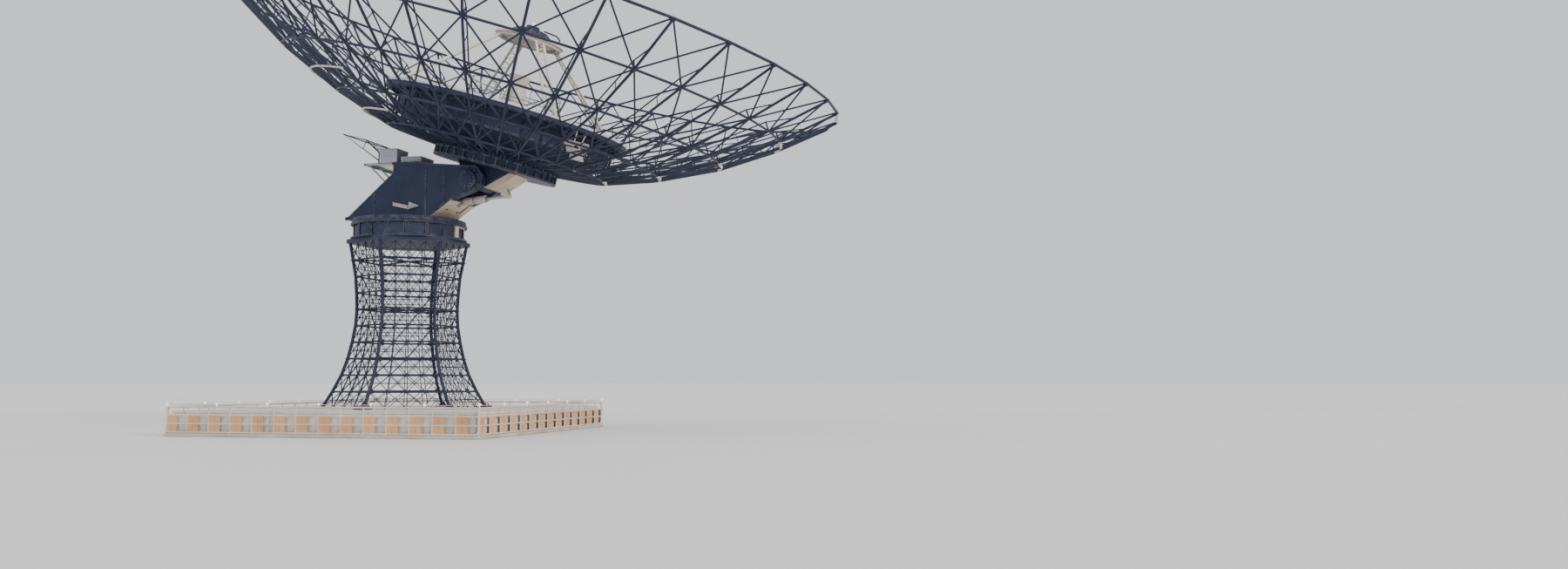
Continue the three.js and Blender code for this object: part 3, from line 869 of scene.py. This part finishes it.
def head_housing(skin):
    """A low housing on top of the yoke, with a lid and ribs on both sides."""
    x0, x1, y0, y1 = 0.06, 0.93, -0.95, 0.1
    low, high = STANDING, 10.62
    box(skin, (x0 + 0.01, y0 + 0.02, low), (x1 - 0.01, y1 - 0.02, high - 0.02))
    box(skin, (x0, y0, high - 0.025), (x1, y1, high))
    for i in range(9):
        x = x0 + 0.05 + i * 0.093
        for y in (y0 + 0.004, y1 - 0.03):
            box(skin, (x, y, low + 0.02), (x + 0.035, y + 0.026, high - 0.04))


def finned_motor(skin, radius, start, end, at, fins=20):
    """A motor that lies along X of the frame, with cooling fins and a fan cowl."""
    length = end - start
    core = radius * 0.82
    cowl = radius * 0.9
    profile = [(0, 0), (radius * 0.55, 0), (radius * 0.95, 0.02), (radius, 0.05), (radius, length * 0.22),
               (core, length * 0.23), (core, length * 0.86), (cowl, length * 0.87),
               (cowl, length * 0.96), (radius * 0.6, length), (0, length)]
    turned(skin, profile, 32, at @ shift(start, 0, 0) @ ALONG_X)
    low = (start + length * 0.225, -0.004, core * 0.9)
    high = (start + length * 0.865, 0.004, radius * 0.98)
    for i in range(fins):
        box(skin, low, high, at @ turn(360 * i / fins, "X"))


def azimuth_drive(skin):
    low = STANDING
    box(skin, (-0.19, 0.2, low), (0.49, 0.85, low + 0.03))
    box(skin, (-0.12, 0.34, low + 0.02), (0.42, 0.71, low + 0.09))
    finned_motor(skin, 0.165, -0.18, 0.47, shift(0, 0.525, low + 0.2))
    box(skin, (0.05, 0.445, low + 0.34), (0.25, 0.605, low + 0.36))
    for x in (-0.14, 0.44):
        for y in (0.25, 0.8):
            bolt(skin, shift(x, y, low + 0.03), 0.02, 0.02)


# Elevation jack, drawn with X running along the screw from the pivot

JACK_SLOPE = 5.7106
JACK = shift(1.6, 0, 8.85) @ turn(-JACK_SLOPE, "Y")
TUBE_RADIUS = 0.115
TUBE_END = 1.65
EYE_AT = 2.5125
THREAD_START = 0.96
THREAD_PITCH = 0.04
THREAD_CORE = 0.062
THREAD_CREST = 0.07


def jack_body(skin):
    """Gearbox, motor, trunnions and the tube that the screw slides in."""
    box(skin, (-0.26, -0.3, -0.19), (0.33, 0.3, 0.19), JACK)
    box(skin, (-0.2, -0.2, 0.17), (0.27, 0.2, 0.21), JACK)
    bore, collar = 0.075, TUBE_RADIUS + 0.005
    profile = [(bore, 0.3), (0.17, 0.3), (0.17, 0.34), (collar, 0.35), (TUBE_RADIUS, 0.6),
               (TUBE_RADIUS, 1.58), (collar, 1.59), (collar, TUBE_END), (bore, TUBE_END)]
    turned(skin, profile, 40, JACK @ ALONG_X)
    finned_motor(skin, 0.12, -0.2, 0.26, JACK @ shift(0, 0, 0.3), 16)
    trunnion = [(0, 0.29), (0.12, 0.29), (0.12, 0.33), (0.07, 0.335), (0.07, 0.3895), (0, 0.3895)]
    for sign in (-1, 1):
        turned(skin, trunnion, 24, JACK @ sideways(sign))
    ring_of_bolts(skin, 8, 0.145, 0, 0.014, JACK @ shift(0.34, 0, 0) @ ALONG_X)


def jack_sleeves(skin):
    """Two pale sleeves on the tube, and a short rigid hose on each side."""
    inner, outer, collar = 0.114, 0.15, 0.158
    for start, end in ((0.72, 1.08), (1.16, 1.62)):
        profile = [(inner, start), (outer - 0.01, start), (outer, start + 0.02), (outer, end - 0.06),
                   (collar, end - 0.05), (collar, end - 0.01), (outer, end), (inner, end)]
        turned(skin, profile, 40, JACK @ ALONG_X)
    hose = [(0.3, 0.12, -0.1), (0.4, 0.1, -0.13), (0.6, 0.09, -0.1), (0.76, 0.09, -0.1)]
    for sign in (-1, 1):
        pipe(skin, [JACK @ Vector((x, sign * y, z)) for x, y, z in hose], 0.02, 10)


def jack_thread(skin):
    first, last, end = THREAD_START + 0.01, EYE_AT - 0.16, EYE_AT - 0.13
    profile = [(0, THREAD_START), (THREAD_CORE, THREAD_START)]
    for i in range(int((last - first) / THREAD_PITCH) + 1):
        x = first + i * THREAD_PITCH
        profile += [(THREAD_CORE, x), (THREAD_CREST, x + 0.008), (THREAD_CREST, x + 0.022),
                    (THREAD_CORE, x + 0.03)]
    profile += [(THREAD_CORE, end), (0, end)]
    turned(skin, profile, 24, JACK @ ALONG_X)


def jack_eye(skin):
    """The eye at the screw's end, with its pin."""
    box(skin, (EYE_AT - 0.14, -0.07, -0.085), (EYE_AT + 0.02, 0.07, 0.085), JACK)
    pin = JACK @ shift(EYE_AT + 0.01, 0, 0) @ sideways(1)
    disc(skin, 0.09, -0.07, 0.07, 32, pin)
    disc(skin, 0.05, -0.085, 0.085, 24, pin)


# Dish, drawn in its own frame: the origin at the rim's centre, Z along the beam

DISH = shift(4.9, 0, 15.15) @ turn(15, "Y")
RIBS = 36
SECTOR_RIBS = 6
# Radius and height of each ring of the back structure, from the rim inwards.
RINGS = [(12.4, 0.09), (10.5, -1.38), (8.45, -2.72), (6.25, -3.78), (4.25, -4.48)]
HUB_JOINT = (2.4, -4.78)
DISC_R = 4.7
DISC_TOP = -3.0
DISC_LOW = -3.25
KNEE = (RINGS[-1][0], DISC_LOW - 0.02)
# Distances from the rings' line to the outer and the inner layer of bars.
OUTER_STEP = 0.1
INNER_STEP = 0.27
# Radii of the dish's bars.
RIB_CHORD = 0.048
INNER_CHORD = 0.026
RIB_POST = 0.03
RIM_BAR = 0.052
RING_BAR = 0.044
DIAGONAL = 0.032
KNEE_POST = 0.036
SLEEVE = 0.062
LOOP_BAR = 0.034
LEG_BAR = 0.05
LACING = 0.014


def layer_points(step):
    """The rib's nodes moved by that step out of the bowl, as (radius, height) pairs."""
    line = RINGS + [HUB_JOINT]
    found = []
    for i, (r, z) in enumerate(RINGS):
        before = line[max(i - 1, 0)]
        after = line[i + 1]
        slope = Vector((before[0] - after[0], before[1] - after[1])).normalized()
        found.append((r + slope.y * step, z - slope.x * step))
    return found


OUTER = [(12.42, 0.04)] + layer_points(OUTER_STEP)[1:]
INNER = layer_points(-INNER_STEP)
# The rings run through the outer layer's nodes, but a little higher at the rim.
RING_NODES = [(12.42, 0.1)] + OUTER[1:]


def rib_angle(k):
    return 10 * k + 5


def at_rib(point, k):
    return polar(point[0], rib_angle(k), point[1])


def node_plate(skin, i, k):
    """A thin round plate on a node, square to the bowl's outside."""
    before, after = OUTER[max(i - 1, 0)], OUTER[min(i + 1, len(OUTER) - 1)]
    slope = math.degrees(math.atan2(before[1] - after[1], before[0] - after[0]))
    at = turn(rib_angle(k)) @ shift(OUTER[i][0], 0, OUTER[i][1]) @ turn(-slope, "Y")
    disc(skin, 0.1, -0.014, 0.014, 12, at)


def rib_truss(skin, k):
    """Rib k: two chords, the posts between them, and a post up to the disc."""
    outer = [at_rib(p, k) for p in OUTER]
    inner = [at_rib(p, k) for p in INNER]
    knee = at_rib(KNEE, k)
    pipe(skin, outer + [at_rib(HUB_JOINT, k)], RIB_CHORD)
    pipe(skin, inner[1:], INNER_CHORD)
    tube(skin, outer[0].lerp(outer[1], 0.55), inner[1], 0.024)
    for i in range(len(OUTER)):
        node_plate(skin, i, k)
    for i in range(1, 5):
        tube(skin, outer[i], inner[i], RIB_POST)
    for i in (1, 2):
        tube(skin, outer[i].lerp(outer[i + 1], 0.5), inner[i].lerp(inner[i + 1], 0.5), 0.018, 6)
    tube(skin, inner[4], knee, KNEE_POST)
    disc(skin, 0.09, -0.001, 0.019, 12, shift(*knee))


def bay_bracing(skin, k):
    """Rings and diagonals between rib k and the next."""
    for i, node in enumerate(RING_NODES):
        tube(skin, at_rib(node, k), at_rib(node, k + 1), RING_BAR if i else RIM_BAR)
    for a, b in zip(RING_NODES, RING_NODES[1:]):
        tube(skin, at_rib(a, k), at_rib(b, k + 1), DIAGONAL)
        tube(skin, at_rib(a, k + 1), at_rib(b, k), DIAGONAL)
    for near, far in ((k, k + 1), (k + 1, k)):
        tube(skin, at_rib(RING_NODES[-1], near), at_rib(HUB_JOINT, far), RIB_POST, 6)


def dish_sector(skin, s):
    for k in range(SECTOR_RIBS * s, SECTOR_RIBS * (s + 1)):
        rib_truss(skin, k)
        bay_bracing(skin, k)


def ring_highlight_sleeves(skin):
    """Pale sleeves on the ring bars between the ribs at the dish's low side; their cream paint is a painted
    highlight, standing in for light from the right on these bars.
    """
    for i, node in enumerate(RING_NODES):
        for k in range(2 if i else 1):
            low, high = at_rib(node, k), at_rib(node, k + 1)
            tube(skin, low.lerp(high, 0.08), low.lerp(high, 0.92), SLEEVE, 12)


def service_loops(skin):
    """Curved pale tubes round the dish's high side, held off the ribs by short arms."""
    for radius, height, outer in ((7.35, -3.45, -3.33), (5.25, -4.33, -4.2)):
        pipe(skin, [polar(radius, a, height) for a in range(165, 246, 4)], LOOP_BAR, 10)
        for k in range(16, 24):
            angle = rib_angle(k)
            tube(skin, polar(radius - 0.08, angle, outer), polar(radius, angle, height), 0.02, 6)


def louvres_highlight(skin):
    """Three pale louvre plates that hang from the disc's edge on two bars; their cream paint is a painted
    highlight, standing in for light from the right under the disc.
    """
    for x in (3.95, 4.15):
        edge = -math.sqrt((DISC_R - 0.08) ** 2 - x * x)
        tube(skin, (x, edge, DISC_LOW + 0.01), (x + 0.2, -2.95, -4.3), 0.013)
    for x0, x1, z in ((3.72, 4.78, -3.76), (3.95, 4.76, -4.0), (4.2, 4.68, -4.24)):
        tilt = shift(0, -2.97, z) @ turn(135, "X")
        box(skin, (x0, -0.1, -0.008), (x1, 0.1, 0.008), tilt)
        box(skin, (x0, -0.1, -0.03), (x1, -0.085, 0.03), tilt)


def central_disc(skin):
    """The central disc: a shallow drum, fins under its edge and two rings of panels on top."""
    foot, lip, step = DISC_R - 0.12, DISC_R - 0.02, DISC_R - 0.1
    floor = DISC_TOP - 0.03
    profile = [(0, DISC_LOW), (foot, DISC_LOW), (foot, DISC_LOW + 0.03), (lip, DISC_LOW + 0.03),
               (DISC_R, DISC_LOW + 0.05), (DISC_R, floor), (lip, DISC_TOP - 0.01),
               (step, DISC_TOP - 0.01), (step, floor), (0, floor)]
    turned(skin, profile, 144)
    fin = [(4.3, DISC_LOW - 0.14), (4.55, DISC_LOW + 0.01), (4.3, DISC_LOW + 0.01)]
    seam = 0.008
    for k in range(RIBS):
        plate(skin, fin, -0.012, 0.012, turn(rib_angle(k)) @ UPRIGHT)
        for inner, outer in ((0.95, 2.75), (2.77, 4.57)):
            start, end = rib_angle(k), rib_angle(k + 1)
            gap = math.degrees(seam / inner)
            wall_block(skin, inner, outer, start + gap, end - gap, floor - 0.005, DISC_TOP, 2)


# A pale band round the disc's upper edge: painted highlight along the rim.
def disc_edge_highlight(skin):
    inner, outer, low, high = DISC_R - 0.05, DISC_R + 0.02, DISC_TOP - 0.07, DISC_TOP + 0.02
    turned(skin, [(inner, low), (outer, low), (outer, high), (inner, high)], 144)


HUB_LOW = -5.2
HUB_R = 2.4
PAN_R = 4.1


def hub(skin):
    """The hub's finned drum, and above it the pan that fills the space up to the disc."""
    high = DISC_LOW - GAP
    wall, pan_wall = HUB_R - 0.1, PAN_R - 0.03
    profile = [(0, HUB_LOW), (HUB_R, HUB_LOW), (HUB_R, HUB_LOW + 0.06), (wall, HUB_LOW + 0.07),
               (wall, -4.6), (HUB_R, -4.59), (HUB_R, -4.52), (4.06, -4.04), (PAN_R, -4.03), (PAN_R, -3.97),
               (pan_wall, -3.96), (pan_wall, high - 0.07), (PAN_R, high - 0.06), (PAN_R, high), (0, high)]
    turned(skin, profile, 108)
    fin = [(2.28, HUB_LOW + 0.03), (2.39, HUB_LOW + 0.03), (2.39, -4.57), (2.28, -4.57)]
    seam = [(2.42, -4.5), (2.42, -4.54), (4.09, -4.06), (4.11, -4.03), (4.11, high - 0.03),
            (4.05, high - 0.03), (4.05, -4.03)]
    for k in range(RIBS):
        rib = turn(rib_angle(k))
        plate(skin, fin, -0.012, 0.012, rib @ UPRIGHT)
        if k % 3 == 0:
            plate(skin, seam, -0.03, 0.03, rib @ UPRIGHT)
        box(skin, (2.28, -0.14, -4.88), (HUB_R, 0.14, -4.68), rib)
    ring_of_bolts(skin, 72, 2.35, -HUB_LOW, at=UPSIDE_DOWN)


CRADLE_HALF = 0.57
CRADLE_TOP = HUB_LOW - GAP
NOSE_TIP = Vector((0.454, 0, -5.945))
NOSE_TOP = Vector((1.195, 0, CRADLE_TOP))


def cradle_trim(skin):
    """Flanges on the cradle's side plates, and the shaft's collars."""
    shaft = DISH.inverted() @ Vector((SHAFT_AT[0], 0, SHAFT_AT[1]))
    u, w = shaft.x, shaft.z
    side = [(-1.3, CRADLE_TOP), (u - 0.42, w - 0.12), (u - 0.2, w - 0.26), (u + 0.2, w - 0.26),
            (u + 0.42, w - 0.12), (0.9, CRADLE_TOP)]
    collar = [(0, 0.57), (0.3, 0.57), (0.3, 0.585), (0.26, 0.6), (0, 0.6)]
    for a, b in zip(side, side[1:]):
        side_plates(skin, strip(a, b, 0.05), 0, 0.02, CRADLE_HALF)
    for sign in (-1, 1):
        turned(skin, collar, 40, shift(u, 0, w) @ sideways(sign))


def nose_trim(skin):
    """Border strips and bolts on the nose's long lower face."""
    length = (NOSE_TOP - NOSE_TIP).length
    at = axes(NOSE_TIP, ACROSS, (NOSE_TOP - NOSE_TIP).normalized())
    width, thick = 0.06, 0.015
    for x in (-0.565, 0.505):
        box(skin, (x, 0.01, 0), (x + width, length - 0.01, thick), at)
    for y in (0.01, length - 0.07):
        box(skin, (-0.5, y, 0), (0.5, y + width, thick), at)
    for x in (-0.535, 0.535):
        bolt_row(skin, at, (x, 0.06, thick), (x, length - 0.06, thick), 9, 0.014, 0.012)


def feed(skin):
    """The feed on the disc: a stepped cone with small horns on top, and a ladder."""
    profile = [(0, 0), (0.75, 0), (0.75, 0.05), (0.68, 0.07), (0.62, 0.12), (0.52, 0.13), (0.46, 0.55),
               (0.49, 0.56), (0.49, 0.6), (0.455, 0.61), (0.35, 1.2), (0.39, 1.21), (0.39, 1.26),
               (0.34, 1.27), (0.42, 1.56), (0.43, 1.6), (0.38, 1.6), (0.3, 1.35), (0, 1.35)]
    turned(skin, profile, 72)
    ring_of_bolts(skin, 24, 0.71, 0.055, 0.018)
    horn = [(0, 0), (0.05, 0), (0.07, 0.2), (0.06, 0.2), (0.04, 0.05), (0, 0.05)]
    for i in range(8):
        turned(skin, horn, 20, shift(*polar(0.19, 45 * i + 22, 1.34)))
    low, high, half = Vector((0, -0.62, 0.1)), Vector((0, -0.44, 1.25)), Vector((0.14, 0, 0))
    for side in (-half, half):
        tube(skin, low + side, high + side, 0.016)
    for i in range(8):
        rung = low.lerp(high, (i + 0.5) / 8)
        tube(skin, rung - half, rung + half, 0.012)
    skin.move(shift(0, 0, DISC_TOP + GAP))


def feed_rails(skin):
    radius, steps, posts = 1.75, 48, 16
    for height in (0.55, 1.05):
        ring = [polar(radius, 360 * i / steps, DISC_TOP + height) for i in range(steps)]
        pipe(skin, ring, 0.022, closed=True)
    for i in range(posts):
        angle = 360 * i / posts
        tube(skin, polar(radius, angle, DISC_TOP - 0.005), polar(radius, angle, DISC_TOP + 1.05), 0.02)


def mirror_leg(skin, angle):
    """Two bars side by side from the disc to the mirror's ring, laced together."""
    side = polar(1.0, angle + 90)
    low, high = polar(4.42, angle, DISC_TOP + GAP), polar(1.165, angle, -0.06)
    rails = []
    for sign in (-1, 1):
        rail = (low + side * 0.2 * sign, high + side * 0.15 * sign)
        tube(skin, *rail, LEG_BAR, 10)
        disc(skin, 0.1, 0, 0.02, 20, shift(*rail[0]))
        rails.append(rail)
    lacings, rungs = 14, 8
    for i in range(lacings):
        near, far = rails[i % 2], rails[1 - i % 2]
        tube(skin, near[0].lerp(near[1], i / lacings), far[0].lerp(far[1], (i + 1) / lacings), LACING, 6)
    for i in range(1, rungs):
        left, right = (rail[0].lerp(rail[1], i / rungs) for rail in rails)
        tube(skin, left, right, LACING, 6)


def legs(skin):
    for k in range(4):
        mirror_leg(skin, 45 + 90 * k)
    profile = [(1.1, -0.1), *rim(1.25, -0.1, 0), (1.1, 0), (1.08, -0.01), (1.08, -0.09)]
    turned(skin, profile, 96)


def small_mirror(skin):
    """The mirror's bulging face, a paraboloid, inside its plain rim."""
    radius, bulge, steps = 1.06, 0.19, 12
    profile = [(radius * i / steps, GAP - bulge * (1 - (i / steps) ** 2)) for i in range(steps + 1)]
    profile += rim(1.35, GAP, GAP + 0.09, 0.02) + [(0, GAP + 0.09)]
    turned(skin, profile, 120)


CAP_LOW = 2 * GAP + 0.09


def mirror_cap(skin):
    """The ribbed cap over the mirror, with a bent pipe."""
    profile = [(0, 0), (1.0, 0), (1.0, 0.03), (0.62, 0.3), (0.3, 0.36), (0.26, 0.38), (0.26, 0.5),
               (0.24, 0.52), (0, 0.52)]
    turned(skin, profile, 72)
    rib = [(0.24, 0.3), (0.95, 0.01), (0.98, 0.06), (0.62, 0.34), (0.24, 0.42)]
    for k in range(16):
        plate(skin, rib, -0.01, 0.01, turn(22.5 * k) @ UPRIGHT)
    pipe(skin, [(1.22, 0, 0), (1.22, 0, 0.22), (1.05, 0, 0.34), (0.5, 0, 0.42)], 0.03, 10)
    skin.move(shift(0, 0, CAP_LOW))


def apex_lamp(skin):
    tube(skin, (0, 0, CAP_LOW + 0.51), (0, 0, CAP_LOW + 0.56), 0.09, 20)
    ball(skin, (0, 0, CAP_LOW + 0.6), 0.075, 20, 10)


# Finishes of the CAD nodes that stay

KEPT = {
    "tower_cap": NAVY_PLATE,
    "yoke": NAVY_PLATE,
    "jack_bracket": GREY,
    "cradle": NAVY_PLATE,
    "nose": CREAM_PLATE_AND_HIGHLIGHT,
    "jack_clevis": CREAM,
}


def finish_node(name, material):
    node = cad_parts[name]
    node.data.materials.clear()
    node.data.materials.append(material)
    weld = node.modifiers.new("weld", "WELD")
    weld.merge_threshold = 0.0002
    soften(node, 0.012)


# Stage


def build_floor():
    skin = Skin()
    disc(skin, 900, -0.012, -0.002, 96)
    place("floor", skin.mesh("floor", floor_material()))


def build_world():
    world = bpy.data.worlds.new("studio")
    world.use_nodes = True
    background = world.node_tree.nodes["Background"]
    background.inputs["Color"].default_value = (0.88, 0.9, 0.94, 1.0)
    background.inputs["Strength"].default_value = 1.0
    bpy.context.scene.world = world


def add_sun(name, towards, strength, colour, softness):
    data = bpy.data.lights.new(name, "SUN")
    data.energy = strength
    data.color = colour
    data.angle = math.radians(softness)
    sun = place(name, data)
    sun.rotation_mode = "QUATERNION"
    sun.rotation_quaternion = Vector(towards).to_track_quat("-Z", "Y")


def add_camera():
    data = bpy.data.cameras.new("camera")
    data.lens = 28.0
    data.sensor_width = 36.0
    data.clip_end = 3000.0
    camera = place("camera", data)
    camera.location = (24.04, -43.78, 1.94)
    camera.rotation_euler = (math.radians(94.53), 0.0, math.radians(11.6))
    bpy.context.scene.camera = camera


# The whole scene

add_camera()
build_world()
add_sun("key", (-0.8, 0.45, -0.4), 2.6, (1.0, 0.9, 0.78), 25)
add_sun("fill", (0.5, 0.7, -0.6), 0.7, (0.85, 0.9, 1.0), 60)
build_floor()

piece("plinth_blocks", plinth, WHITE, "base", "plinth", 0.012)
for i, side in enumerate(("front", "right", "back", "left")):
    piece("rails_" + side, fence_side, PINK_RAIL, "base", "fence_" + side, 0, (fence_rails, i))
    piece("slats_" + side, fence_side, TAN, "base", None, 0.004, (fence_slats, i))
    piece("lamps_" + side, fence_side, LENS, "base", None, 0, (fence_lamps, i))
for k in range(6):
    number = str(k + 1)
    piece("tower_lattice_" + number, tower_face, NAVY, "base", "tower_face_" + number, 0, (k,))
piece("tower_ties", tower_ties, NAVY, "base")
piece("drum_shell", drum, NAVY_PLATE, "base", "azimuth_drum")
piece("drum_hatch_frame", hatch_frame_highlight, CREAM_PLATE_AND_HIGHLIGHT, "base", bevel=0.005)
piece("drum_hatch_door", hatch_door, NAVY_PLATE, "base", bevel=0.004)

piece("head_ring", head_plate, NAVY_PLATE, "head", "head_plate")
piece("yoke_flanges", yoke_trim, NAVY_PLATE, "head", bevel=0.004)
piece("front_cover_highlight", front_cover_highlight, CREAM_PLATE_AND_HIGHLIGHT, "head", bevel=0.004)
piece("side_hood_lips", hood_lips_highlight, CREAM_PLATE_AND_HIGHLIGHT, "head", bevel=0.006)
piece("side_hood_ends", hood_ends, GREY_TUBE, "head", bevel=0.006)
piece("side_doors", side_doors, NAVY_PLATE, "head", bevel=0.004)
for side, sign in (("left", 1), ("right", -1)):
    piece("bearing_cap_" + side, bearing, NAVY_PLATE, "head", "bearing_" + side, 0.004, (sign,))
piece("deck_grating", deck, GREY, "head", "service_deck")
piece("deck_brackets", deck_brackets, CREAM, "head")
piece("deck_frames", deck_rails, NAVY, "head", "deck_rails")
piece("deck_cabinet", cabinet, GREY_TUBE, "head", "cabinet", 0.006)
piece("yoke_housing", head_housing, DARK_HOUSING, "head", "head_housing", 0.005)
piece("azimuth_motor", azimuth_drive, GREY_TUBE, "head", "azimuth_drive", 0.004)

piece("jack_housing", jack_body, GREY, "jack", "jack_body", 0.005)
piece("jack_sleeves", jack_sleeves, WHITE_SLEEVE, "jack", bevel=0.003)
piece("jack_shield", jack_shield, CREAM_PLATE_AND_HIGHLIGHT, "jack", bevel=0.004)
piece("jack_thread", jack_thread, SCREW_STEEL, "screw", "jack_screw")
piece("jack_eye", jack_eye, CREAM, "screw", bevel=0.005)

for s in range(RIBS // SECTOR_RIBS):
    number = str(s + 1)
    piece("dish_lattice_" + number, dish_sector, NAVY, "dish", "dish_sector_" + number, 0, (s,))
# Cream sleeves at the dish's low side: painted highlight on the ring bars.
piece("ring_sleeves_painted_highlight", ring_highlight_sleeves, CREAM, "dish")
piece("service_loops", service_loops, CREAM, "dish")
piece("lattice_louvres", louvres_highlight, CREAM, "dish")
piece("disc_panels", central_disc, NAVY_PLATE, "dish", "central_disc")
piece("disc_edge_highlight", disc_edge_highlight, RIM_HIGHLIGHT_PAINT, "dish")
piece("hub_drum", hub, NAVY_PLATE, "dish", "hub")
piece("cradle_flanges", cradle_trim, NAVY_PLATE, "dish", bevel=0.004)
piece("nose_trim", nose_trim, CREAM_PLATE_AND_HIGHLIGHT, "dish", bevel=0.003)
piece("feed_horns", feed, CREAM, "dish", "feed_cone")
piece("feed_rails", feed_rails, GREY_TUBE, "dish")
piece("mirror_legs", legs, CREAM, "dish", "quadrupod")
piece("mirror_shell", small_mirror, MIRROR_PAINT, "dish", "small_mirror")
piece("mirror_cap", mirror_cap, NAVY_PLATE, "dish", "mirror_backing")
piece("apex_lamp", apex_lamp, LENS, "dish")

for name, (material, _) in KEPT.items():
    finish_node(name, material)
